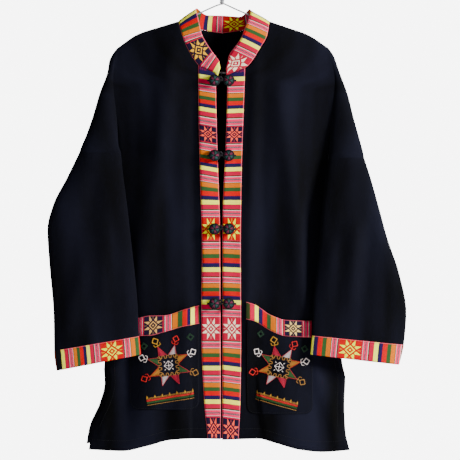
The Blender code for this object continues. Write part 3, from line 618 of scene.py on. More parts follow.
class Nodes:
    # short calls for the nodes of one tree
    def __init__(self, tree):
        self.tree = tree

    def feed(self, socket, value):
        value = value.socket if isinstance(value, Flow) else value
        if isinstance(value, bpy.types.NodeSocket):
            self.tree.links.new(value, socket)
        else:
            socket.default_value = value

    def new(self, kind, settings=None, **inputs):
        node = self.tree.nodes.new(kind)
        for name, value in (settings or {}).items():
            setattr(node, name, value)
        for name, value in inputs.items():
            self.feed(node.inputs[name], value)
        return node

    def math(self, operation, *values):
        node = self.new("ShaderNodeMath", {"operation": operation})
        for socket, value in zip(node.inputs, values):
            self.feed(socket, value)
        return Flow(self, node.outputs[0])

    def mixColour(self, factor, first, second, blend="MIX"):
        node = self.new("ShaderNodeMix", {"data_type": "RGBA", "blend_type": blend, "clamp_result": True})
        for i, value in ((0, factor), (6, first), (7, second)):
            self.feed(node.inputs[i], value)
        return node.outputs[2]

    def steps(self, factor, stops):
        # one colour after another, with no blending between them
        node = self.new("ShaderNodeValToRGB")
        ramp = node.color_ramp
        ramp.interpolation = "CONSTANT"
        while len(ramp.elements) < len(stops):
            ramp.elements.new(1.0)
        for element, (spot, tone) in zip(ramp.elements, stops):
            element.position = spot
            element.color = tone
        self.feed(node.inputs[0], factor)
        return node.outputs[0]

    def noise(self, vector, scale, detail=2.0, roughness=0.5):
        values = {"Vector": vector, "Scale": scale, "Detail": detail, "Roughness": roughness}
        return Flow(self, self.new("ShaderNodeTexNoise", {}, **values).outputs["Fac"])

    def stretched(self, vector, scale):
        return self.new("ShaderNodeMapping", {}, Vector=vector, Scale=scale).outputs[0]

    def axes(self, vector):
        parts = self.new("ShaderNodeSeparateXYZ", {}, Vector=vector).outputs
        return [Flow(self, parts[axis]) for axis in "XYZ"]

    def between(self, value, low, high):
        return (value > low) * (value < high)

    def close(self, tone, height, roughness):
        # the group's three outputs
        for socket, value in zip(self.tree.nodes.new("NodeGroupOutput").inputs, (tone, height, roughness)):
            self.feed(socket, value)
        return self.tree


def colour(code):
    # a colour from its usual six-figure code, made linear
    parts = [int(code[i : i + 2], 16) / 255.0 for i in (0, 2, 4)]
    linear = [part / 12.92 if part <= 0.04045 else ((part + 0.055) / 1.055) ** 2.4 for part in parts]
    return (*linear, 1.0)


def newGroup(name, numbers, colours):
    # a group of nodes that makes a colour, a height and a roughness from a place
    group = bpy.data.node_groups.new(name, "ShaderNodeTree")
    group.interface.new_socket("Vector", in_out="INPUT", socket_type="NodeSocketVector")
    for kind, values in (("NodeSocketFloat", numbers), ("NodeSocketColor", colours)):
        for label, value in values.items():
            socket = group.interface.new_socket(label, in_out="INPUT", socket_type=kind)
            if value is not None:
                socket.default_value = value
    for label, kind in (("Color", "Color"), ("Height", "Float"), ("Roughness", "Float")):
        group.interface.new_socket(label, in_out="OUTPUT", socket_type="NodeSocket" + kind)
    kit = Nodes(group)
    return kit, {socket.name: Flow(kit, socket) for socket in group.nodes.new("NodeGroupInput").outputs}


twoTones = {"Dark": None, "Light": None}
# every noise has its scale, its detail and its roughness
cotton = {
    "slubs": (70.0, 3.0, 0.6),
    "slubStretch": (9.0, 1.0, 1.0),
    "patches": (7.0, 2.0, 0.5),
    # painted shade: long vertical bands, darker and lighter in the colour, that stand in for fold shading
    "paintedShadeStreaks": (13.0, 2.0, 0.45),
    "paintedShadeStretch": (1.0, 0.16, 1.0),
    "lint": (420.0, 1.0, 0.5),
    "lintAbove": 0.71,
    "shares": {"slubs": 0.55, "patches": 0.6, "cross": 0.12, "lint": 0.5, "paintedShadeStreaks": 2.6},
    "darker": 0.1,
    "threadHeight": 0.35,
    "roughness": (0.72, 0.25),
}


def makeWeaveAndPaintedShade():
    # plain cotton weave: crossed threads of uneven thickness, with slubs and a little lint, and long vertical
    # bands of painted shade, darker and lighter, that stand in for the shading of folds
    kit, given = newGroup("cottonWeaveAndPaintedShade", {"Thread": 0.0007}, twoTones)
    place, shares = given["Vector"], cotton["shares"]
    x, y = kit.axes(place)[:2]
    turn = 2.0 * pi / given["Thread"]
    cross = kit.math("SINE", x * turn) * kit.math("SINE", y * turn)
    slubs = kit.noise(kit.stretched(place, cotton["slubStretch"]), *cotton["slubs"])
    patches = kit.noise(place, *cotton["patches"])
    # painted shade: long vertical bands of darker and lighter colour, standing in for the shading of folds
    paintedShadeStreaks = kit.noise(kit.stretched(place, cotton["paintedShadeStretch"]), *cotton["paintedShadeStreaks"])
    lint = kit.noise(place, *cotton["lint"])
    # the colour's tone: the cloth's own unevenness, with the painted shade bands added
    tone = slubs * shares["slubs"] + patches * shares["patches"] + cross * shares["cross"]
    tone = tone + (lint > cotton["lintAbove"]) * shares["lint"] + (paintedShadeStreaks - 0.5) * shares["paintedShadeStreaks"]
    smooth, uneven = cotton["roughness"]
    woven = kit.mixColour(tone - cotton["darker"], given["Dark"], given["Light"])
    return kit.close(woven, cross * cotton["threadHeight"] + slubs, slubs * uneven + smooth)


# the patterned ribbon: stars, bars and pin stripes across its width

ribbon = {
    "repeat": 182.0,
    "star": 45.0,
    "barGroup": 62.0,
    "halfWidth": 17.5,
    "wobble": 1.1,
    "wobbleScale": 30.0,
    "dashPitch": 2.1,
    "dashAbove": -0.35,
    "orange": "d56c00",
    "green": "2f5428",
    "red": "d00000",
    "navy": "1f1146",
    "straw": "fffb4a",
    "crimson": "be0038",
    "pink": "f80c58",
    "white": "e8d4cc",
    "dash": "b48c92",
    "black": "120a0e",
    "leaf": "2c3a1a",
    "selvage": "ff6a7a",
    "stitches": "3a1018",
    "join": "0a0a12",
    "grounds": ("180c2c", "c40002", "b80030"),
    "stars": ("ff5a3e", "f8ff18", "ffe6c8"),
    "selvageFrom": 0.93,
    "stitchedAt": (0.84, 0.88),
    "sewnShare": 0.45,
    "joinHalf": 7.5,
    "ribPitch": 1.1,
    "threadPitch": 0.9,
    "grain": (260.0, 3.0, 0.6),
    "shade": {"ribs": 0.06, "grain": 0.5, "least": 0.72},
    "height": {"ribs": 0.3, "threads": 0.15, "motif": 0.5, "stitches": 0.9, "grain": 0.5},
    "roughness": (0.6, 0.3),
}
# the star, with its middle at 0 and its block's edge at 1
starShape = {
    "block": 0.9,
    "blockAcross": 0.95,
    "slant": (0.05, 0.72),
    "petalWidth": 0.43,
    "petalsFrom": 0.69,
    "cornerGap": 0.07,
    "rayWidth": 0.04,
    "rays": (0.7, 0.97),
    "rayTone": 0.35,
    "ring": (0.33, 0.48),
    "middle": 0.12,
    "blockEnds": 0.91,
}
# widths in millimetres along the ribbon: one group of pin stripes, then one group of bars
ribbonStripes = (
    ("leaf", 1.9), ("white", 1.0), ("pink", 3.1), ("dash", 2.4), ("pink", 3.1), ("white", 0.7), ("leaf", 1.1),
    ("orange", 8.0), ("green", 7.5), ("red", 8.9), ("navy", 7.7), ("straw", 8.2), ("crimson", 8.3),
)


def starMotif(kit, fromMiddle, edge):
    # the eight-pointed star, folded into one eighth of its block
    shape = starShape
    alongStar = abs(fromMiddle / (ribbon["star"] / 2.0 * shape["block"]))
    acrossStar = edge / shape["blockAcross"]
    far, near = kit.math("MAXIMUM", alongStar, acrossStar), kit.math("MINIMUM", alongStar, acrossStar)
    diamond = far + near
    # petals narrow towards their tips, meet at the corners and leave a ground round the middle diamond
    least, slope = shape["slant"]
    petals = (near > (far - 0.5) * slope + least) * (near < shape["petalWidth"])
    petals = petals * (diamond > shape["petalsFrom"]) * (far < 1.0) * (far - near > shape["cornerGap"])
    rays = (near < shape["rayWidth"]) * kit.between(far, *shape["rays"])
    rings = kit.between(diamond, *shape["ring"]) + (diamond < shape["middle"])
    return kit.math("MAXIMUM", kit.math("MAXIMUM", petals, rings), rays * shape["rayTone"])


def ribbonBars(kit, inGroup, across):
    # pin stripes and bars one after another, with one stripe broken into dashes
    stops, reached = [], 0.0
    total = sum(width for name, width in ribbonStripes)
    for name, width in ribbonStripes:
        if name == "dash":
            scale = ribbon["barGroup"] / total
            dashes = kit.between(inGroup, reached * scale, (reached + width) * scale)
        stops.append((reached / total, colour(ribbon[name])))
        reached += width
    weft = kit.math("SINE", across * (2.0 * pi * ribbon["halfWidth"] / ribbon["dashPitch"]))
    bars = kit.steps(inGroup / ribbon["barGroup"], stops)
    return kit.mixColour(dashes * (weft > ribbon["dashAbove"]), bars, colour(ribbon["black"]))


def makeRibbon():
    numbers = {"Centre": 0.0, "Direction": 1.0, "First": 0.0, "Join": -1000.0}
    kit, given = newGroup("wovenRibbon", numbers, {"Star 1": colour(ribbon["stars"][0])})
    x, across = kit.axes(given["Vector"])[:2]
    wobble = kit.noise(given["Vector"], ribbon["wobbleScale"]) - 0.5
    length = x * 1000.0
    along = (length - given["Centre"]) * given["Direction"] + ribbon["star"] / 2.0 + wobble * ribbon["wobble"]
    edge = abs(across)
    inRepeat = along % ribbon["repeat"]
    which = (kit.math("FLOOR", along / ribbon["repeat"]) + given["First"]) % 3.0
    isStar = inRepeat < ribbon["star"]
    bars = ribbonBars(kit, (inRepeat - ribbon["star"]) % ribbon["barGroup"], across)

    half = ribbon["star"] / 2.0
    motif = starMotif(kit, inRepeat - half, edge)
    third = (which + 0.5) / 3.0
    grounds, threads = (
        kit.steps(third, [(i / 3.0, colour(code)) for i, code in enumerate(ribbon[group])])
        for group in ("grounds", "stars")
    )
    threads = kit.mixColour(which < 0.5, threads, given["Star 1"])
    ends = abs(inRepeat - half) > half * starShape["blockEnds"]
    grounds = kit.mixColour(ends, grounds, colour(ribbon["crimson"]))
    star = kit.mixColour(motif * (1.0 - ends), grounds, threads)
    pattern = kit.mixColour(isStar, bars, star)

    # the pink selvage, the row of stitches beside it, and the weft's own unevenness
    stitched = kit.between(edge, *ribbon["stitchedAt"])
    for place, label in ((edge > ribbon["selvageFrom"], "selvage"), (stitched, "stitches")):
        pattern = kit.mixColour(place * ribbon["sewnShare"], pattern, colour(ribbon[label]))
    ribs = kit.math("SINE", length * (2.0 * pi / ribbon["ribPitch"]))
    threadsAcross = kit.math("SINE", across * (2.0 * pi * ribbon["halfWidth"] / ribbon["threadPitch"]))
    grain = kit.noise(given["Vector"], *ribbon["grain"])
    shares = ribbon["shade"]
    shade = ribs * shares["ribs"] + grain * shares["grain"] + shares["least"]
    grey = kit.new("ShaderNodeCombineColor", {}, Red=shade, Green=shade, Blue=shade).outputs[0]
    pattern = kit.mixColour(1.0, pattern, grey, "MULTIPLY")
    joined = abs(length - given["Join"]) < ribbon["joinHalf"]
    pattern = kit.mixColour(joined, pattern, colour(ribbon["join"]))
    shares = ribbon["height"]
    height = ribs * shares["ribs"] + threadsAcross * shares["threads"] + motif * isStar * shares["motif"]
    height = height - stitched * shares["stitches"] + grain * shares["grain"]
    smooth, uneven = ribbon["roughness"]
    return kit.close(pattern, height, grain * uneven + smooth)


def newMaterial(name, group, mapName, groupValues, bump, socketValues):
    # one Principled material fed by one group
    material = bpy.data.materials.new(name)
    material.use_nodes = True
    kit = Nodes(material.node_tree)
    shader = material.node_tree.nodes["Principled BSDF"]
    if mapName:
        vector = kit.new("ShaderNodeUVMap", {"uv_map": mapName}).outputs[0]
    else:
        vector = kit.new("ShaderNodeTexCoord").outputs["Object"]
    effect = kit.new("ShaderNodeGroup", {"node_tree": group})
    kit.feed(effect.inputs["Vector"], vector)
    for label, value in groupValues.items():
        effect.inputs[label].default_value = value
    kit.feed(shader.inputs["Base Color"], effect.outputs["Color"])
    kit.feed(shader.inputs["Roughness"], effect.outputs["Roughness"])
    strength, distance = bump
    height = effect.outputs["Height"]
    relief = kit.new("ShaderNodeBump", {}, Height=height, Strength=strength, Distance=distance)
    kit.feed(shader.inputs["Normal"], relief.outputs[0])
    for label, value in socketValues.items():
        shader.inputs[label].default_value = value
    return material


weave = makeWeaveAndPaintedShade()
ribbonWeave = makeRibbon()
clothLook = {
    "Specular IOR Level": 0.05,
    "Sheen Weight": 0.01,
    "Sheen Roughness": 0.5,
    "Sheen Tint": (0.6, 0.65, 0.9, 1.0),
}
clothTones = {"Thread": 0.0009, "Dark": colour("020202"), "Light": colour("131421")}
ribbonLook = {"Specular IOR Level": 0.1}


def clothMaterial(name):
    return newMaterial(name + "Cotton", weave, "flat", clothTones, (0.5, 0.0004), clothLook)


def ribbonMaterial(name, values):
    return newMaterial(name + "Ribbon", ribbonWeave, "flat", values, (0.45, 0.0005), ribbonLook)


print("materials ready")

# fronts, backs, sleeves

for side in sign:
    for which, label in (("frontCrease", "front"), ("backCrease", "back")):
        name = label + side.capitalize()
        sheet = clothSheet(name, *panelPoints(side, which), clothMaterial(name), body["clothThickness"])
        keepPiece(sheet, f"{label}_{side}")


def ringAngles():
    start = body["underarmAngle"]
    steps = finer(panel["ringSteps"], panel["parts"])
    front = [mix(start, -180.0, share) for share in steps]
    back = [mix(start, 180.0, share) - 360.0 for share in steps]
    return front + list(reversed(back))[1:]


def tubeSheet(side, rows, name, material, thickness, out):
    # a sleeve or cuff: rings round the arm, its map opened along the underarm
    angles = ringAngles()
    points, place = {}, {}
    for j, down in enumerate(rows):
        centre = (ringPoint(side, down, 0.0) + ringPoint(side, down, 180.0)) / 2.0
        seam = -0.6 * (1.0 - ease(abs(down - 2.0) / 0.02)) if down < 2.5 else 0.0
        reached = 0.0
        for i, angle in enumerate(angles):
            point = ringPoint(side, down, angle)
            away = point - centre
            away.y *= 3.0
            points[i, j] = point + away.normalized() * (out(down) + seam)
            reached += (points[i, j] - points[i - 1, j]).length if i else 0.0
            fallen = place[i, j - 1][1] + (points[i, j] - points[i, j - 1]).length * mm if j else 0.0
            place[i, j] = (reached * mm, fallen)
    last = len(angles) - 1
    joined = {(last, j): (0, j) for j in range(len(rows))}
    for key in joined:
        points.pop(key)
    cells = []
    for j in range(len(rows) - 1):
        for i in range(last):
            cell = ((i, j), (i + 1, j), (i + 1, j + 1), (i, j + 1))
            cells.append(tuple(reversed(cell)) if side == "right" else cell)
    return clothSheet(name, points, cells, place, material, thickness, joined)


cuffs = {
    "left": {"Centre": 62.0, "Direction": -1.0, "First": 1.0, "Join": 184.0},
    "right": {"Centre": 80.5, "Direction": -1.0, "First": 1.0},
}
# the way round each cuff from the underarm, and the place in the woven pattern that lies there
cuffPattern = {
    "left": SmoothTable(
        "along place", (0, 0), (60, 60), (96, 97.5), (110, 115.5), (135, 148.5), (161, 181.5), (172, 196),
        (200, 225), (340, 365),
    ),
    "right": SmoothTable("along place", (0, 0), (180, 180), (360, 360)),
}
for side in sign:
    name = "sleeve" + side.capitalize()
    rows, cloth = finer(panel["sleeveRows"], 3), clothMaterial(name)
    sleeve = tubeSheet(side, rows, name, cloth, body["clothThickness"], lambda down: 0.0)
    keepPiece(sleeve, "sleeve_" + side)
    name = "cuff" + side.capitalize()
    rows, trim = finer(panel["cuffRows"], 4), ribbonMaterial(name, cuffs[side])
    cuff = tubeSheet(side, rows, name, trim, 1.2, lambda down: 0.5 * ease(min(down - 3.0, 4.0 - down) / 0.06))
    across = cuff.data.uv_layers["flat"]
    longest = max(loop.uv.y for loop in across.data)
    for loop in across.data:
        loop.uv.x = cuffPattern[side].at("place", loop.uv.x / mm) * mm
        loop.uv.y = 2.0 * loop.uv.y / longest - 1.0
    keepPiece(cuff, "cuff_" + side)


# collar, plackets, pockets and their bands

collar = {
    "top": SmoothTable(
        "round x z y",
        (0.00, -5.5, -183, -20.5),
        (0.25, -22, -161, -20.5),
        (0.49, -31, -147, -20),
        (0.72, -38, -133, -18),
        (0.89, -44, -105, -10),
        (1.00, -49.5, -86, 1),
        (1.33, -47, -83.5, 13),
        (1.67, -27, -96, 19),
        (2.00, 1, -96.5, 20.5),
        (2.33, 33, -99, 18.5),
        (2.67, 51, -85, 13),
        (3.00, 53.5, -89, 1),
        (3.11, 50, -104, -11),
        (3.28, 44, -119, -17),
        (3.51, 35, -142, -20),
        (3.77, 13, -174, -20.5),
        (4.00, 10.5, -186, -20.5),
    ),
    "ends": {"left": (3.0, -2.8, -197), "right": (-2.0, 6.5, -199)},
    "heights": 12,
    "thickness": 1.5,
    # the way along the band, and the place in the woven pattern that lies there
    "pattern": SmoothTable("along place", (0, -2), (54.5, 48), (229.5, 230), (396.5, 412), (422.5, 436)),
    "endSlant": 12.0,
    "endReach": 85.0,
    "roll": 1.3,
    "edge": 0.6,
    "ribbon": {"Centre": 48.0, "Star 1": colour("f0b01c")},
}


def neckSeam():
    # the way round the neck and the seam's point there, from the left front end to the right
    stations = []
    for side, turn, centre in (("left", 1, 1.0), ("right", -1, 3.0)):
        for which, toward, share, count, first in (
            ("frontCrease", -turn, neckShare, 32, 1),
            ("backCrease", turn, backNeckShare, 28, 0),
        ):
            inner = patchEdges(side, which)[0][2]
            # the centre back's station is there once, from the left side
            last = count if first or side == "left" else count - 1
            for i in range(first, last + 1):
                spot = inner(share * i / count)
                seam = Vector((spot.x, bodyY(side, which, spot.x, spot.y), spot.y))
                stations.append((centre + toward * i / count, seam))
    return sorted(stations, key=lambda station: station[0])


def makeCollar():
    tops, count = collar["top"], collar["heights"]
    columns = [(seam, Vector([tops.at(axis, way) for axis in "xyz"])) for way, seam in neckSeam()]
    for side in sign:
        past, topX, topZ = collar["ends"][side]
        seam, top = columns[0 if side == "left" else -1]
        end = (seam + Vector((past, 0, -1)), Vector((topX, top.y, topZ)))
        middle = tuple((a + b) / 2.0 for a, b in zip(end, (seam, top)))
        at = 0 if side == "left" else len(columns)
        columns[at:at] = [end, middle] if side == "left" else [middle, end]
    points, place, along, before = {}, {}, 0.0, None
    for i, (seam, top) in enumerate(columns):
        inward = Vector((-seam.x * 0.35, -seam.y, 0.0)).normalized()
        half = (seam + top) / 2.0
        along += (half - before).length if i else 0.0
        before = half
        for j in range(count + 1):
            t = j / count
            roll = collar["roll"] * sin(pi * t) - collar["edge"] * (1.0 - ease(min(t, 1.0 - t) / 0.08))
            points[i, j] = seam.lerp(top, t) - inward * roll
            slanted = along - collar["endSlant"] * (1.0 - t) * (1.0 - ease(along / collar["endReach"]))
            place[i, j] = (collar["pattern"].at("place", slanted) * mm, 2.0 * t - 1.0)
    cells = gridCells(len(columns) - 1, count, downFirst=True)
    look = ribbonMaterial("collar", collar["ribbon"])
    return clothSheet("collarBand", points, cells, place, look, collar["thickness"])


keepPiece(makeCollar(), "collar")

placket = {
    # the stripes that lie at each height, measured down from the hook, and how they slant
    "left": {
        "outer": SmoothTable(
            "down x",
            (170, -44), (255, -43.5), (400, -40.5), (534, -37), (627, -38), (700, -38),
            (815, -33), (880, -27), (920, -25),
        ),
        "stripes": SmoothTable(
            "down place",
            (203, -121.6), (226, -97.8), (241.5, -84.5), (286, -35.8), (303, -22.5), (335.5, 22.5),
            (351, 35.8), (395, 84.5), (409.5, 97.8), (458.2, 146.5), (472.7, 159.5), (517.7, 204.5),
            (532.6, 217.8), (582.8, 266.5), (595.8, 279.8), (643.2, 328.5), (658.1, 341.5), (701.8, 386.5),
            (716.7, 399.8), (765.1, 448.5), (779.9, 461.8), (827.4, 510.5), (842.2, 523.5), (890, 571),
        ),
        "slant": SmoothTable("down slope", (170, 0.17), (400, 0.17), (455, 0.0), (920, 0.0)),
    },
    "right": {
        "outer": SmoothTable(
            "down x",
            (170, 44), (255, 41), (400, 36.5), (534, 35), (700, 35.7), (815, 34), (880, 31), (920, 29),
        ),
        "stripes": SmoothTable(
            "down place",
            (206, -121.6), (229, -97.8), (243.5, -84.5), (288, -35.8), (304, -22.5), (336, 22.5),
            (351, 35.8), (396, 84.5), (410, 97.8), (458.2, 146.5), (472.7, 159.5), (517.7, 204.5),
            (532.6, 217.8), (582.8, 266.5), (595.8, 279.8), (643.2, 328.5), (658.1, 341.5), (701.8, 386.5),
            (719, 402), (766.5, 449), (781, 461.8), (828.5, 510.5), (845, 523.5), (891, 571),
        ),
        "slant": SmoothTable(
            "down slope", (170, -0.04), (400, -0.02), (530, 0.05), (700, 0.05), (745, 0.13), (920, 0.13)
        ),
    },
    "lift": 1.35,
    "thickness": 1.1,
    "columns": 12,
    "rows": 300,
}
# how a band's edges sink into the cloth, and the share of its width that does so
bandEdge = {"depth": 0.5, "share": 0.09}
frontEdgeByZ, neckByX, hemByX = {}, {}, {}
for side in sign:
    edge, low, level = frontEdge[side], frontEdgeLow[side], underarmZ(side)
    shares = [mix(neckShare, 1.0, i / 20.0) for i in range(21)]
    rows = [(-edge.at("z", t), edge.at("x", t)) for t in shares]
    rows += [(-level + drop, low.at("x", drop)) for drop in range(20, 560, 20)]
    frontEdgeByZ[side] = SmoothTable("down x", *rows)
    shares = [neckShare * i / 30.0 for i in range(31)]
    rows = [(edge.at("x", t) * sign[side], edge.at("z", t)) for t in shares]
    neckByX[side] = SmoothTable("x z", *reversed(rows))
    width = (sideEdge(side, "frontCrease", -900.0)[0] - low.at("x", 540)) * sign[side]
    rows = [(width * i / 20.0, frontHem[side].at("z", i / 20.0)) for i in range(21)]
    hemByX[side] = SmoothTable("x z", *rows)


def edgeDip(share):
    return bandEdge["depth"] * (1.0 - ease(min(share, 1.0 - share) / bandEdge["share"]))


def makePlacket(side):
    values = placket[side]
    points, place = {}, {}
    columns, rows = placket["columns"], placket["rows"]
    for i in range(columns + 1):
        s = i / columns
        rough = mix(frontEdgeByZ[side].at("x", 215), values["outer"].at("x", 195), s)
        top = neckByX[side].at("z", rough * sign[side]) - 0.3
        low = hemByX[side].at("z", rough * sign[side]) + 0.4
        for j in range(rows + 1):
            z = mix(top, low, j / rows)
            edge, outer = frontEdgeByZ[side].at("x", -z), values["outer"].at("x", -z)
            x = mix(edge + 0.2 * sign[side], outer, s)
            points[i, j] = frontPoint(side, x, z, placket["lift"] - edgeDip(s))
            slanted = -z - values["slant"].at("slope", -z) * (x - (edge + outer) / 2.0)
            place[i, j] = (values["stripes"].at("place", slanted) * mm, 2.0 * s - 1.0)
    name = "placket" + side.capitalize()
    cells = gridCells(columns, rows, flipped=side == "right")
    return clothSheet(name, points, cells, place, ribbonMaterial(name, {}), placket["thickness"])


pocket = {
    "left": {"outer": -171.0, "inner": -42.0, "top": -664.0, "topInner": -645.0, "low": -830.0},
    "right": {"outer": 169.0, "inner": 45.0, "top": -677.0, "topInner": -650.0, "low": -838.0},
    "corner": 16.0,
    "lift": 1.35,
    "puff": 1.6,
    "puffAcross": 28.0,
    "puffUp": 30.0,
    "edge": 0.6,
    "edgeWidth": 3.0,
    "thickness": 1.0,
    "columns": 48,
    "rows": 60,
}


def pocketLift(side, x, z):
    # the pocket bags a little between its stitched edges
    size = pocket[side]
    s = clamp((x - size["inner"]) / (size["outer"] - size["inner"]))
    edge = min(s, 1.0 - s) * abs(size["outer"] - size["inner"])
    low = z - size["low"]
    puff = pocket["puff"] * ease(edge / pocket["puffAcross"]) * ease(low / pocket["puffUp"])
    return pocket["lift"] - pocket["edge"] * (1.0 - ease(min(edge, low) / pocket["edgeWidth"])) + puff


def pocketPoint(side, x, z, lift=0.0):
    return frontPoint(side, x, z, pocketLift(side, x, z) + lift)


def makePocket(side):
    size = pocket[side]
    points, place = {}, {}
    for j in range(pocket["rows"] + 1):
        t = 1.0 - (1.0 - j / pocket["rows"]) ** 1.6
        low = mix(size["top"], size["low"], t)
        rise = clamp(1.0 - (low - size["low"]) / pocket["corner"])
        inset = pocket["corner"] * (1.0 - sqrt(max(0.0, 1.0 - rise**2)))
        for i in range(pocket["columns"] + 1):
            s = i / pocket["columns"]
            x = mix(size["inner"] + inset * sign[side], size["outer"] - inset * sign[side], s)
            z = mix(mix(size["topInner"], size["top"], s), size["low"], t)
            points[i, j] = pocketPoint(side, x, z)
            place[i, j] = (x * mm, z * mm)
    cells = gridCells(pocket["columns"], pocket["rows"], flipped=side == "right")
    name = "pocket" + side.capitalize()
    return clothSheet(name, points, cells, place, clothMaterial(name), pocket["thickness"])


pocketBand = {
    "left": SmoothTable(
        "along x top low",
        (0, -157, -661, -693.5),
        (0.2, -134, -655.5, -693),
        (0.45, -107, -655, -686),
        (0.75, -72, -645, -676),
        (1, -42, -636.5, -670),
    ),
    "right": SmoothTable(
        "along x top low",
        (0, 165, -665, -696),
        (0.35, 118, -663.5, -693.5),
        (0.6, 90, -654, -683),
        (0.85, 60, -635, -666),
        (1, 45, -630, -662),
    ),
    # the way in from the outer end, and the place in the woven pattern that lies there
    "leftStripes": SmoothTable(
        "along place",
        (0, -35), (12.9, -22.5), (51.8, 22.5), (68.2, 35.8), (78.5, 43.8), (88, 51.3), (97.3, 60.2),
        (103.8, 67.9), (112, 76.1), (118.5, 84.3), (123, 86.2),
    ),
    "rightStripes": SmoothTable(
        "along place",
        (0, -38), (17.4, -22.5), (53.4, 22.5), (68.5, 35.8), (78.6, 43.8), (87, 51.3), (97, 60.2),
        (106, 67.9), (114, 76.1), (123, 84.3), (131, 86.2),
    ),
    "leftRibbon": {"Star 1": colour("d8a458")},
    "rightRibbon": {"Star 1": colour("ecc874")},
    "lift": 1.2,
    "thickness": 1.1,
    "columns": 110,
    "rows": 12,
}


def makePocketBand(side):
    band = pocketBand[side]
    columns, rows = pocketBand["columns"], pocketBand["rows"]
    points, place, along = {}, {}, 0.0
    for i in range(columns + 1):
        x, top, low = (band.at(column, i / columns) for column in ("x", "top", "low"))
        for j in range(rows + 1):
            s = j / rows
            points[i, j] = pocketPoint(side, x, mix(top, low, s), pocketBand["lift"] - edgeDip(s))
        along += (points[i, rows // 2] - points[i - 1, rows // 2]).length if i else 0.0
        for j in range(rows + 1):
            place[i, j] = (pocketBand[side + "Stripes"].at("place", along) * mm, 2.0 * j / rows - 1.0)
    name = "pocketBand" + side.capitalize()
    cells = gridCells(columns, rows, flipped=side == "right", downFirst=True)
    look = ribbonMaterial(name, pocketBand[side + "Ribbon"])
    return clothSheet(name, points, cells, place, look, pocketBand["thickness"])


for side in sign:
    keepPiece(makePlacket(side), "placket_" + side)
    keepPiece(makePocket(side), "pocket_" + side)
    keepPiece(makePocketBand(side), "pocket_band_" + side)
print("collar, plackets and pockets done")

# cord and thread

twist = {
    "slope": 0.8,
    "fuzz": (900.0, 3.0, 0.6),
    "patches": (120.0, 2.0, 0.5),
    "shares": {"strands": 0.22, "fuzz": 0.5, "patches": 0.5},
    "darker": 0.05,
    "height": {"strands": 0.5, "fuzz": 0.4},
    "roughness": (0.5, 0.35),
}


def makeCordTwist():
    # twisted strands across a cord or a stitch, with the fine fuzz of cotton
    kit, given = newGroup("cordTwist", {"Strand": 0.0012}, twoTones)
    place = given["Vector"]
    x, z = kit.axes(place)[::2]
    strands = kit.math("SINE", (x + z * twist["slope"]) * (2.0 * pi) / given["Strand"])
    fuzz, patches = kit.noise(place, *twist["fuzz"]), kit.noise(place, *twist["patches"])
    shares, raised = twist["shares"], twist["height"]
    tone = strands * shares["strands"] + fuzz * shares["fuzz"] + patches * shares["patches"]
    twisted = kit.mixColour(tone - twist["darker"], given["Dark"], given["Light"])
    smooth, uneven = twist["roughness"]
    return kit.close(twisted, strands * raised["strands"] + fuzz * raised["fuzz"], fuzz * uneven + smooth)


cordTwist = makeCordTwist()
threadColours = {
    "black": ("050508", "14141a"),
    "teal": ("03191b", "0c5650"),
    "magenta": ("2c0218", "8a0c48"),
    "crimson": ("80001c", "c4003c"),
    "grey": ("8c8080", "dccccc"),
    "ochre": ("8a5400", "bc7a0c"),
    "green": ("0a300c", "1c5c14"),
    "tan": ("6e4a14", "b07c30"),
    "rose": ("900820", "dc1038"),
    "white": ("c0b4b0", "fff4f0"),
    "gold": ("8a6000", "e0a41c"),
    "red": ("900000", "e81408"),
    "leaf": ("04200c", "0c4020"),
}
threads = {}
for name, (dark, light) in threadColours.items():
    tones = {"Strand": 0.0011, "Dark": colour(dark), "Light": colour(light)}
    look = {"Specular IOR Level": 0.2 if name == "black" else 0.35}
    threads[name] = newMaterial(name + "Thread", cordTwist, "", tones, (0.4, 0.0003), look)


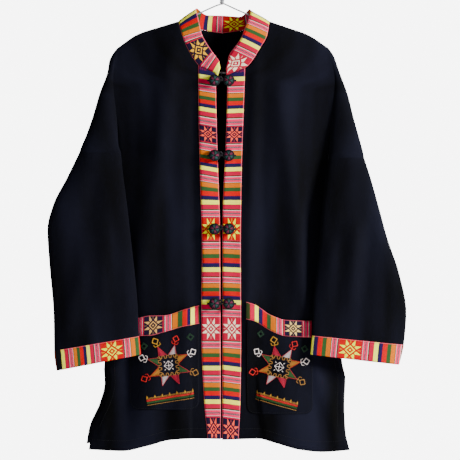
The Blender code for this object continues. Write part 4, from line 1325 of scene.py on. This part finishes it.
class Needlework:
    # one mesh of many threads and cords, each with its own colour
    def __init__(self, name, threadNames):
        self.name = name
        self.threadNames = threadNames
        self.work = bmesh.new()
        self.batches = []

    def paint(self, verts, thread):
        number = self.threadNames.index(thread)
        for vert in verts:
            for face in vert.link_faces:
                face.material_index = number
                face.smooth = True

    def setAside(self):
        # a small working mesh keeps the operators quick
        batch = bpy.data.meshes.new(self.name + "Batch")
        bmesh.ops.recalc_face_normals(self.work, faces=self.work.faces)
        self.work.to_mesh(batch)
        self.work.free()
        self.batches.append(batch)
        self.work = bmesh.new()

    def bead(self, centre, along, normal, size, thread, around, rings):
        # a rounded bead of thread, drawn out one way and flattened on what carries it
        along = (along - normal * along.dot(normal)).normalized()
        turn = Matrix((along, normal.cross(along), normal)).transposed().to_4x4()
        stretch = Matrix.Diagonal((*(measure / 2.0 * mm for measure in size), 1.0))
        place = Matrix.Translation(centre * mm) @ turn @ stretch @ Matrix.Rotation(pi / 2.0, 4, "Y")
        detail = {"u_segments": around, "v_segments": rings, "radius": 1.0}
        self.paint(bmesh.ops.create_uvsphere(self.work, matrix=place, **detail)["verts"], thread)
        if len(self.work.verts) > 400:
            self.setAside()

    def cord(self, path, radius, thread, sides=8):
        # a round cord drawn along a path, closed at both ends
        frames, direction = [], None
        turn = Matrix.Identity(3)
        for i, spot in enumerate(path):
            ahead = (path[min(i + 1, len(path) - 1)] - path[max(i - 1, 0)]).normalized()
            step = (direction or Vector((0.0, 0.0, 1.0))).rotation_difference(ahead).to_matrix()
            turn = step @ turn
            direction = ahead
            frames.append(Matrix.Translation(spot * mm) @ turn.to_4x4())
        made = list(bmesh.ops.create_circle(
            self.work, cap_ends=True, segments=sides, radius=radius * mm, matrix=frames[0]
        )["verts"])
        edges = list({edge for vert in made for edge in vert.link_edges})
        for before, after in zip(frames, frames[1:]):
            drawn = bmesh.ops.extrude_edge_only(self.work, edges=edges)["geom"]
            fresh = [item for item in drawn if isinstance(item, bmesh.types.BMVert)]
            bmesh.ops.transform(self.work, matrix=after @ before.inverted(), verts=fresh)
            edges = [item for item in drawn if isinstance(item, bmesh.types.BMEdge)]
            edges = [edge for edge in edges if all(vert in fresh for vert in edge.verts)]
            made += fresh
        bmesh.ops.contextual_create(self.work, geom=edges)
        self.paint(made, thread)

    def finish(self, replaced=None, slot=None):
        self.setAside()
        for batch in self.batches:
            self.work.from_mesh(batch)
            bpy.data.meshes.remove(batch)
        mesh = bpy.data.meshes.new(self.name)
        self.work.to_mesh(mesh)
        self.work.free()
        for name in self.threadNames:
            mesh.materials.append(threads[name])
        piece = newPiece(self.name, mesh)
        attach(piece, "root")
        if replaced:
            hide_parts(replaced)
        print(self.name, "triangles", sum(len(polygon.vertices) - 2 for polygon in mesh.polygons))


# the frog fastenings, each a woven ball of black cord with teal and magenta strands

knot = {
    "heights": (-220.0, -359.0, -495.0, -633.0),
    "x": {"left": -13.6, "right": 12.6},
    "radius": 11.0,
    "depth": 6.5,
    "gap": 0.3,
    "petals": 6,
    "rimBeads": 18,
    "cord": 1.5,
    "bulge": 0.86,
    "ball": (1.9, 1.7),
    "petalSlope": -0.62,
    "petalLift": 0.05,
    "petalWidth": 1.25,
    "petalHeight": 1.7,
    "button": (2.6, 2.6, 1.6),
    "rimSlope": 0.8,
    # the loop between the partners: each cord's start and arch, its reach, and how deep it lies
    "loop": {
        "cords": ((2.2, 5.0), (-2.2, 1.75)),
        "from": 0.7,
        "to": 14.6,
        "sag": 1.5,
        "sunk": 0.8,
        "narrow": 0.5,
    },
    "tail": {
        "cords": (-1.1, 1.1),
        "from": 0.8,
        "to": 1.24,
        "sunk": 0.35,
        "narrow": 0.6,
        "low": 0.4,
        "thin": 0.75,
    },
    # the rim's beads: how far out and how deep they lie, how they lean, their size and roundness
    "rim": {
        "front": (0.86, 0.4, 0.55, (5.4, 2.5, 2.6), (8, 6)),
        "back": (0.84, 0.6, -0.5, (5.4, 2.5, 2.4), (6, 4)),
    },
    # each petal's strands: how far round, how far out, how long, how wide, and a colour of its own
    "strands": ((-0.17, 0.47, 0.66, 1.5, None), (0.17, 0.47, 0.66, 1.5, None), (0.5, 0.5, 0.8, 1.9, "black")),
    "turn": {"left": (20.0, 5.0, 40.0, 12.0), "right": (50.0, 35.0, 10.0, 25.0)},
}


def knotSurface(radius, reach):
    # how far the ball's front stands proud at this distance from its middle
    return knot["depth"] * knot["bulge"] * sqrt(max(0.0, 1.0 - (reach / radius) ** 2))


def makeKnot(side, number, z):
    x = knot["x"][side]
    lift = placket["lift"] + knot["gap"] + knot["depth"]
    centre = Vector((x, bodyY(side, "frontCrease", x, z) - lift, z))
    towards = Vector((0.0, -1.0, 0.0))
    name = "frog" + side.capitalize() + str(number)
    sewn = Needlework(name, ("black", "teal", "magenta"))
    radius = knot["radius"]
    level = Vector((1.0, 0.0, 0.0))
    wide, deep = knot["ball"]
    sewn.bead(centre, level, towards, (radius * wide, radius * wide, knot["depth"] * deep), "black", 20, 12)
    for i in range(knot["rimBeads"]):
        angle = 2.0 * pi * i / knot["rimBeads"]
        out, tangent = Vector((cos(angle), 0.0, sin(angle))), Vector((-sin(angle), 0.0, cos(angle)))
        for toward, (reach, sunk, lean, size, detail) in zip((towards, -towards), knot["rim"].values()):
            spot = centre + out * radius * reach + toward * (knotSurface(radius, radius * reach) - sunk)
            normal = (out * knot["rimSlope"] + toward).normalized()
            sewn.bead(spot, tangent + out * lean, normal, size, "black", *detail)
    start = radians(knot["turn"][side][number - 1])
    for i in range(knot["petals"]):
        for offset, share, long, wide, tone in knot["strands"]:
            angle = start + 2.0 * pi * (i + offset) / knot["petals"]
            out = Vector((cos(angle), 0.0, sin(angle)))
            reach = radius * share
            slope = knot["petalSlope"] * reach / radius
            along, normal = (out + towards * slope).normalized(), (towards - out * slope).normalized()
            spot = centre + out * reach + towards * (knotSurface(radius, reach) + knot["petalLift"])
            thread = tone or ("teal" if i % 2 else "magenta")
            size = (radius * long, wide * knot["petalWidth"], knot["petalHeight"])
            sewn.bead(spot, along, normal, size, thread, 8, 6)
    top = centre + towards * knotSurface(radius, 0.0)
    sewn.bead(top, level, towards, knot["button"], "black", 8, 6)

    # the loop or button neck between the partners, and the small tail outwards
    inner, loop, tail = -sign[side], knot["loop"], knot["tail"]
    for height, rise in loop["cords"] if side == "left" else ():
        path = []
        for i in range(13):
            t = i / 12.0
            swell = sin(pi * t)
            reach = inner * mix(radius * loop["from"], loop["to"], t)
            up = height * (1.0 - loop["narrow"] * t) + rise * swell
            path.append(centre + Vector((reach, -loop["sag"] * swell - loop["sunk"], up)))
        sewn.cord(path, knot["cord"], "black")
    for height in tail["cords"]:
        path = []
        for i in range(7):
            t = i / 6.0
            reach = -inner * mix(radius * tail["from"], radius * tail["to"], t)
            up = height * (1.0 - tail["narrow"] * t) - tail["low"]
            path.append(centre + Vector((reach, knot["depth"] * tail["sunk"] * t, up)))
        sewn.cord(path, knot["cord"] * tail["thin"], "black", 6)
    sewn.finish(f"frog_{side}_{number}", "knot_cord")


for side in sign:
    for number, z in enumerate(knot["heights"], 1):
        makeKnot(side, number, z)
print("knots done")

# the pockets' embroidery: an eight-pointed star, flowers beyond its points and a border below

embroidery = {
    "left": {
        "centre": (-98.6, -747.6),
        "turn": 7.0,
        "border": (-48.0, 39.5, -58.4, 0.04),
        "diamonds": ((46.0, 66.0), (135.0, 57.0)),
    },
    "right": {
        "centre": (106.0, -750.2),
        "turn": -11.5,
        "border": (-31.0, 47.0, -61.0, -0.08),
        "diamonds": ((47.0, 57.0), (131.0, 70.0)),
    },
    "square": 18.6,
    "tip": (16.2, 36.5),
    "base": (0.9, 16.6),
    "steps": ((0.0, -4.5), (0.0, -2.0), (4.6, -2.0), (4.6, 2.0), (0.0, 2.0), (0.0, 4.5)),
    "middle": 8.6,
    "flowerReach": 51.0,
    "flowerSize": 6.2,
    "stem": 4.2,
    "hook": (5.6, 1.0, 4.4, 0.6),
    "diamondSizes": (6.6, 4.4),
    # the points' long stitches and the line along each point's edges: how many, and how wide
    "pointStitches": (13, 1.45),
    "pointEdge": (6, 1.0),
    # the border's two bands from low to high, its two thin lines and its spikes
    "bands": ((-1.9, 1.9, "red"), (-5.7, -2.0, "green")),
    "thinLines": (-8.4, 2.9),
    "spikes": 6,
    "spikeLines": (-1.3, 0.0, 1.3),
    # round the star from the point at the right, against the clock
    "points": ("ochre", "grey", "crimson", "green", "ochre", "grey", "crimson", "green"),
    "edges": {"ochre": "red", "grey": "rose", "crimson": "rose", "green": "rose"},
    "flowers": {22.5: "white", 67.5: "red", 112.5: "gold", 157.5: "white", 202.5: "red", -22.5: "tan"},
    "threads": ("crimson", "grey", "ochre", "green", "tan", "rose", "white", "gold", "red", "leaf", "black"),
}


class PocketStar(Needlework):
    # stitches given in the star's own flat place on one pocket
    def __init__(self, side):
        super().__init__("embroidery" + side.capitalize(), embroidery["threads"])
        self.side = side
        turn = radians(embroidery[side]["turn"])
        self.cos, self.sin = cos(turn), sin(turn)
        self.count = 0

    def onPocket(self, spot, lift):
        middleX, middleZ = embroidery[self.side]["centre"]
        x = middleX + spot[0] * self.cos - spot[1] * self.sin
        z = middleZ + spot[0] * self.sin + spot[1] * self.cos
        return pocketPoint(self.side, x, z, lift)

    def stitch(self, start, end, width, thread, lift=0.3):
        # the hand's small unevenness comes from a fixed noise
        self.count += 1
        uneven = noise.noise(Vector((self.count * 0.71, 3.3, self.side == "left"))) * 0.35
        start = (start[0] + uneven, start[1] - uneven * 0.6)
        end = (end[0] - uneven * 0.7, end[1] + uneven)
        first, last = self.onPocket(start, lift), self.onPocket(end, lift)
        middle = self.onPocket(((start[0] + end[0]) / 2.0, (start[1] + end[1]) / 2.0), lift)
        along = last - first
        normal = along.cross(Vector((-along.z, 0.0, along.x))).normalized()
        if normal.y > 0.0:
            normal = -normal
        self.bead(middle, along, normal, (along.length + width * 0.35, width, 0.85), thread, 5, 4)

    def line(self, start, end, count, width, thread, lift=0.45):
        for i in range(count):
            a, b = i / count, (i + 0.92) / count
            ends = [(mix(start[0], end[0], t), mix(start[1], end[1], t)) for t in (a, b)]
            self.stitch(*ends, width, thread, lift)

    def satin(self, firstLine, secondLine, count, width, thread):
        # side by side from one line to the other
        for i in range(count):
            t = (i + 0.5) / count
            ends = [(mix(a[0], b[0], t), mix(a[1], b[1], t)) for a, b in (firstLine, secondLine)]
            self.stitch(*ends, width, thread)


def turned(spot, quarter):
    x, z = spot
    for i in range(quarter % 4):
        x, z = -z, x
    return x, z


def polar(angle, reach):
    return reach * cos(radians(angle)), reach * sin(radians(angle))


def makeStar(side):
    sewn = PocketStar(side)
    half = embroidery["square"]
    tipAside, tipOut = embroidery["tip"]
    baseIn, baseOut = embroidery["base"]
    for quarter in range(4):
        for aside in (-1.0, 1.0):
            # quarter 0 is the right-hand side of the square
            thread = embroidery["points"][(2 * quarter + (0 if aside > 0 else 7)) % 8]
            tip = turned((tipOut, tipAside * aside), quarter)
            inner = turned((half + 0.8, baseIn * aside), quarter)
            outer = turned((half + 0.8, baseOut * aside), quarter)
            sewn.satin((inner, tip), (outer, tip), *embroidery["pointStitches"], thread)
            edge = embroidery["edges"][thread]
            for start in (inner, outer):
                sewn.line(start, tip, *embroidery["pointEdge"], edge, 0.75)
    for quarter in range(4):
        # the square's stepped outline
        for i in range(4):
            spot = (i - 1.5) * 9.0
            steps = [(half - inwards, spot + aside) for inwards, aside in embroidery["steps"]]
            for foot, head in zip(steps, steps[1:]):
                sewn.stitch(turned(foot, quarter), turned(head, quarter), 1.6, "tan", 0.4)
    # a diamond and a cross in the middle
    reach = embroidery["middle"]
    for quarter in range(4):
        sewn.line(turned((reach, 0.0), quarter), turned((0.0, reach), quarter), 4, 1.3, "white")
        sewn.line((0.0, 0.0), turned((reach, 0.0), quarter), 3, 1.2, "white")
        near, far = (turned((share * reach, share * reach), quarter) for share in (0.72, 1.0))
        sewn.line(near, far, 1, 1.5, "white")
    for angle, thread in embroidery["flowers"].items():
        middle = Vector(polar(angle, embroidery["flowerReach"]))
        across = Vector(polar(angle + 90.0, 1.0))
        outward = Vector(polar(angle, 1.0))
        size = embroidery["flowerSize"]
        corners = [middle + way * size for way in (outward, across, -outward, -across)]
        for i in range(4):
            sewn.line(corners[i], corners[(i + 1) % 4], 3, 2.2, thread)
        foot = middle - outward * (size + embroidery["stem"])
        aside, outwards, length, lean = embroidery["hook"]
        sewn.line(corners[2], foot, 2, 1.6, thread)
        for turn in (-1.0, 1.0):
            hook = foot + across * turn * aside + outward * outwards
            sewn.line(foot, hook, 2, 1.5, thread)
            sewn.line(hook, hook + outward * length + across * turn * lean, 2, 1.4, thread)
    for angle, reach in embroidery[side]["diamonds"]:
        middle = Vector(polar(angle, reach))
        for size in embroidery["diamondSizes"]:
            corners = [middle + Vector(turned((size, 0.0), i)) for i in range(4)]
            for i in range(4):
                sewn.line(corners[i], corners[(i + 1) % 4], 4, 1.4, "leaf")
    start, end, level, lean = embroidery[side]["border"]

    def borderSpot(along, up):
        return along, level + up + lean * along

    count = int((end - start) / 1.25)
    for low, high, thread in embroidery["bands"]:
        ends = [(borderSpot(start, up), borderSpot(end, up)) for up in (low, high)]
        sewn.satin(*ends, count, 1.3, thread)
    for up in embroidery["thinLines"]:
        sewn.line(borderSpot(start, up), borderSpot(end, up), int((end - start) / 3.2), 1.4, "tan")
    spikes = embroidery["spikes"]
    for i in range(spikes + 1):
        spot = mix(start + 1.5, end - 1.5, i / spikes)
        for wide in embroidery["spikeLines"]:
            head = borderSpot(spot + wide * 0.4, 9.0 - abs(wide))
            sewn.stitch(borderSpot(spot + wide, 2.6), head, 1.0, "gold")
        if i < spikes:
            reach = (end - start - 3.0) / spikes
            ends = [borderSpot(spot + reach * share, 4.6) for share in (0.14, 0.86)]
            sewn.line(*ends, 4, 1.4, "tan")
    print("stitches", sewn.count)
    sewn.finish()


for side in sign:
    makeStar(side)
print("embroidery done")

# rows of dark machine stitches that hold the hems and the pockets' edges

stitching = {
    "pitch": 3.4,
    "length": 2.5,
    "width": 0.75,
    "hemUp": 19.0,
    "pocketIn": 2.6,
    "sideIn": 14.0,
    "height": 0.6,
    "lift": 0.2,
}


def stitchRow(sewn, place, path, side, which):
    # along a path of flat points, one stitch for each pitch
    spots = [place(*point) for point in path]
    size = (stitching["length"], stitching["width"], stitching["height"])
    run = 0.0
    for (start, end), (a, b) in zip(zip(spots, spots[1:]), zip(path, path[1:])):
        length = (end - start).length
        while run < length:
            t = run / length
            x, z = mix(a[0], b[0], t), mix(a[1], b[1], t)
            normal = surfaceNormal(side, which, x, z)
            sewn.bead(place(x, z), end - start, normal, size, "black", 5, 4)
            run += stitching["pitch"]
        run -= length


def sewHem(side, which):
    front = which == "frontCrease"
    sewn = Needlework("hem" + ("Front" if front else "Back") + side.capitalize(), ("black",))
    inner = (placket[side]["outer"].at("x", 880) if front else 0.0) + 1.5 * sign[side]
    outer = sideEdge(side, which, -890.0)[0] - 4.0 * sign[side]
    hem, edge = [], []
    for i in range(25):
        x = mix(inner, outer, i / 24.0)
        z = hemByX[side].at("z", x * sign[side]) if front else body["backHem"].at("z", x / outer)
        hem.append((x, z + stitching["hemUp"]))
    for i in range(9):
        z = mix(-860.0, underarmZ(side) - body["slitDrop"] + 10.0, i / 8.0)
        edge.append((sideEdge(side, which, z)[0] - stitching["sideIn"] * sign[side], z))
    for path in (hem, edge):
        stitchRow(sewn, lambda x, z: clothSpot(side, which, x, z, stitching["lift"]), path, side, which)
    sewn.finish()


def sewPocket(side):
    sewn = Needlework("pocketSewing" + side.capitalize(), ("black",))
    size, inset = pocket[side], stitching["pocketIn"]
    inner, outer = size["inner"] + inset * sign[side], size["outer"] - inset * sign[side]
    low, corner = size["low"] + inset, pocket["corner"] - inset
    path = [(outer, z) for z in (size["top"] - 34.0, low + corner)]
    for i in range(1, 6):
        angle = radians(18.0 * i)
        path.append((outer - corner * (1.0 - cos(angle)) * sign[side], low + corner * (1.0 - sin(angle))))
    for i in range(1, 12):
        path.append((mix(outer - corner * sign[side], inner + corner * sign[side], i / 12.0), low))
    for i in range(6):
        angle = radians(90.0 - 18.0 * i)
        path.append((inner + corner * (1.0 - cos(angle)) * sign[side], low + corner * (1.0 - sin(angle))))
    path.append((inner, size["topInner"] - 34.0))
    stitchRow(sewn, lambda x, z: pocketPoint(side, x, z, stitching["lift"]), path, side, "frontCrease")
    sewn.finish()


for side in sign:
    sewPocket(side)
    for which in ("frontCrease", "backCrease"):
        sewHem(side, which)
print("stitching done")

# the hanger of grey wire

hanger = {
    "radius": 1.45,
    "hookRadius": 22.0,
    "hookArc": (195.0, -35.0),
    "neck": ((9, -44), (3, -49), (0, -55), (0, -70)),
    "right": ((1.5, -75), (9, -78.5), (25, -86), (55, -99)),
    "left": ((-54, -99.5), (-25, -86), (-10, -79.5)),
    "shares": (0.02, 0.3, 0.6, 0.85),
    "underSeam": 3.7,
    "bends": (
        (184, -177, 16, 62, -10),
        (181, -192.5, 12, -15, -90),
        (-180, -192.5, 12, 270, 195),
        (-182, -177, 16, 190, 118),
    ),
    "twistTurns": 3,
    "twistLow": -77.0,
    "twistRise": 3.1,
    "twistRadius": 3.0,
    "twistStart": 150.0,
}


def arc(centreX, centreZ, radius, start, end, count):
    angles = [radians(mix(start, end, i / (count - 1))) for i in range(count)]
    return [Vector((centreX + radius * cos(angle), 0.0, centreZ + radius * sin(angle))) for angle in angles]


def shoulderWire(side, shares):
    line, under = shoulder[side], hanger["underSeam"]
    return [Vector((line.at("x", t), 0.0, line.at("z", t) - under)) for t in shares]


def hangerRoute():
    hook = arc(0.0, -hanger["hookRadius"], hanger["hookRadius"] + hanger["radius"], *hanger["hookArc"], 28)
    neck, right, left = ([Vector((x, 0.0, z)) for x, z in hanger[run]] for run in ("neck", "right", "left"))
    right += shoulderWire("right", hanger["shares"])
    ends = [spot for bend in hanger["bends"] for spot in arc(*bend, 9)]
    left = shoulderWire("left", reversed(hanger["shares"])) + left
    turns = []
    for i in range(hanger["twistTurns"] * 16 + 1):
        turn = i / 16
        angle = radians(hanger["twistStart"] - 360.0 * turn)
        height = hanger["twistLow"] + hanger["twistRise"] * turn
        turns.append(Vector((hanger["twistRadius"] * cos(angle), hanger["twistRadius"] * sin(angle), height)))
    return hook + neck + right + ends + left + turns


def makeWireSteel():
    # drawn grey wire: fine lengthways scratches, dull patches where the coating has worn
    kit, given = newGroup("wireSteel", {}, twoTones)
    patches = kit.noise(given["Vector"], 60.0, 3.0, 0.6)
    scratches = kit.noise(given["Vector"], 700.0)
    return kit.close(kit.mixColour(patches, given["Dark"], given["Light"]), scratches, patches * 0.25 + 0.22)


wireTones = {"Dark": colour("808084"), "Light": colour("c4c4c8")}
wireLook = {"Metallic": 0.35}
threads["steel"] = newMaterial("hangerSteel", makeWireSteel(), "", wireTones, (0.15, 0.0002), wireLook)
wire = Needlework("hangerWire", ("steel",))
wire.cord(hangerRoute(), hanger["radius"], "steel", 12)
wire.finish("hanger", "wire")
print("hanger done")
# floor, light and camera

studio = {
    "floorZ": -1.45,
    "floorRadius": 2.2,
    "floorColour": (0.85, 0.85, 0.86, 1.0),
    "white": (1.0, 1.0, 1.0, 1.0),
    "lampAim": (0.0, 0.0, -0.5),
    "sensor": 36.0,
    "distance": 5.0,
    "centre": (0.0149, -0.497),
    "width": 0.8556,
    "key": {"place": (2.65, -1.45, 0.4), "size": 1.0, "power": 255.0},
    "fill": {"place": (-1.9, -2.2, 0.1), "size": 1.6, "power": 12.0},
    "back": {"place": (0.6, 2.4, 0.9), "size": 1.8, "power": 110.0},
    "worldLight": 0.11,
    "worldSeen": 7.0,
}
floorMesh = bmesh.new()
bmesh.ops.create_circle(floorMesh, cap_ends=True, segments=96, radius=studio["floorRadius"],
                        matrix=Matrix.Translation((0.0, 0.0, studio["floorZ"])))
floorData = bpy.data.meshes.new("studioFloor")
floorMesh.to_mesh(floorData)
floorMesh.free()
floor = newPiece("studioFloor", floorData)
floorPaint = bpy.data.materials.new("studioFloorPaint")
floorPaint.use_nodes = True
paint = floorPaint.node_tree.nodes["Principled BSDF"].inputs
paint["Base Color"].default_value = studio["floorColour"]
paint["Roughness"].default_value = 0.9
floorData.materials.append(floorPaint)

world = bpy.data.worlds.new("studioWorld")
bpy.context.scene.world = world
world.use_nodes = True
kit = Nodes(world.node_tree)
background = world.node_tree.nodes["Background"]
kit.feed(background.inputs["Color"], studio["white"])
kit.feed(background.inputs["Strength"], studio["worldLight"])
seen = kit.new("ShaderNodeBackground", {}, Color=studio["white"], Strength=studio["worldSeen"])
choice = kit.new("ShaderNodeMixShader")
isSeen = kit.new("ShaderNodeLightPath").outputs["Is Camera Ray"]
for socket, value in zip(choice.inputs, (isSeen, background.outputs[0], seen.outputs[0])):
    kit.feed(socket, value)
kit.feed(world.node_tree.nodes["World Output"].inputs[0], choice.outputs[0])

for name in ("key", "fill", "back"):
    values = studio[name]
    lamp = bpy.data.lights.new(name + "Light", "AREA")
    lamp.shape = "DISK"
    lamp.size = values["size"]
    lamp.energy = values["power"]
    holder = newPiece(name + "Light", lamp)
    holder.location = values["place"]
    holder.rotation_euler = (Vector(studio["lampAim"]) - holder.location).to_track_quat("-Z", "Y").to_euler()

view = bpy.data.cameras.new("photoView")
view.sensor_width = studio["sensor"]
view.lens = studio["sensor"] * studio["distance"] / studio["width"]
viewer = newPiece("photoView", view)
viewer.location = (studio["centre"][0], -studio["distance"], studio["centre"][1])
viewer.rotation_euler = (radians(90.0), 0.0, 0.0)
bpy.context.scene.camera = viewer
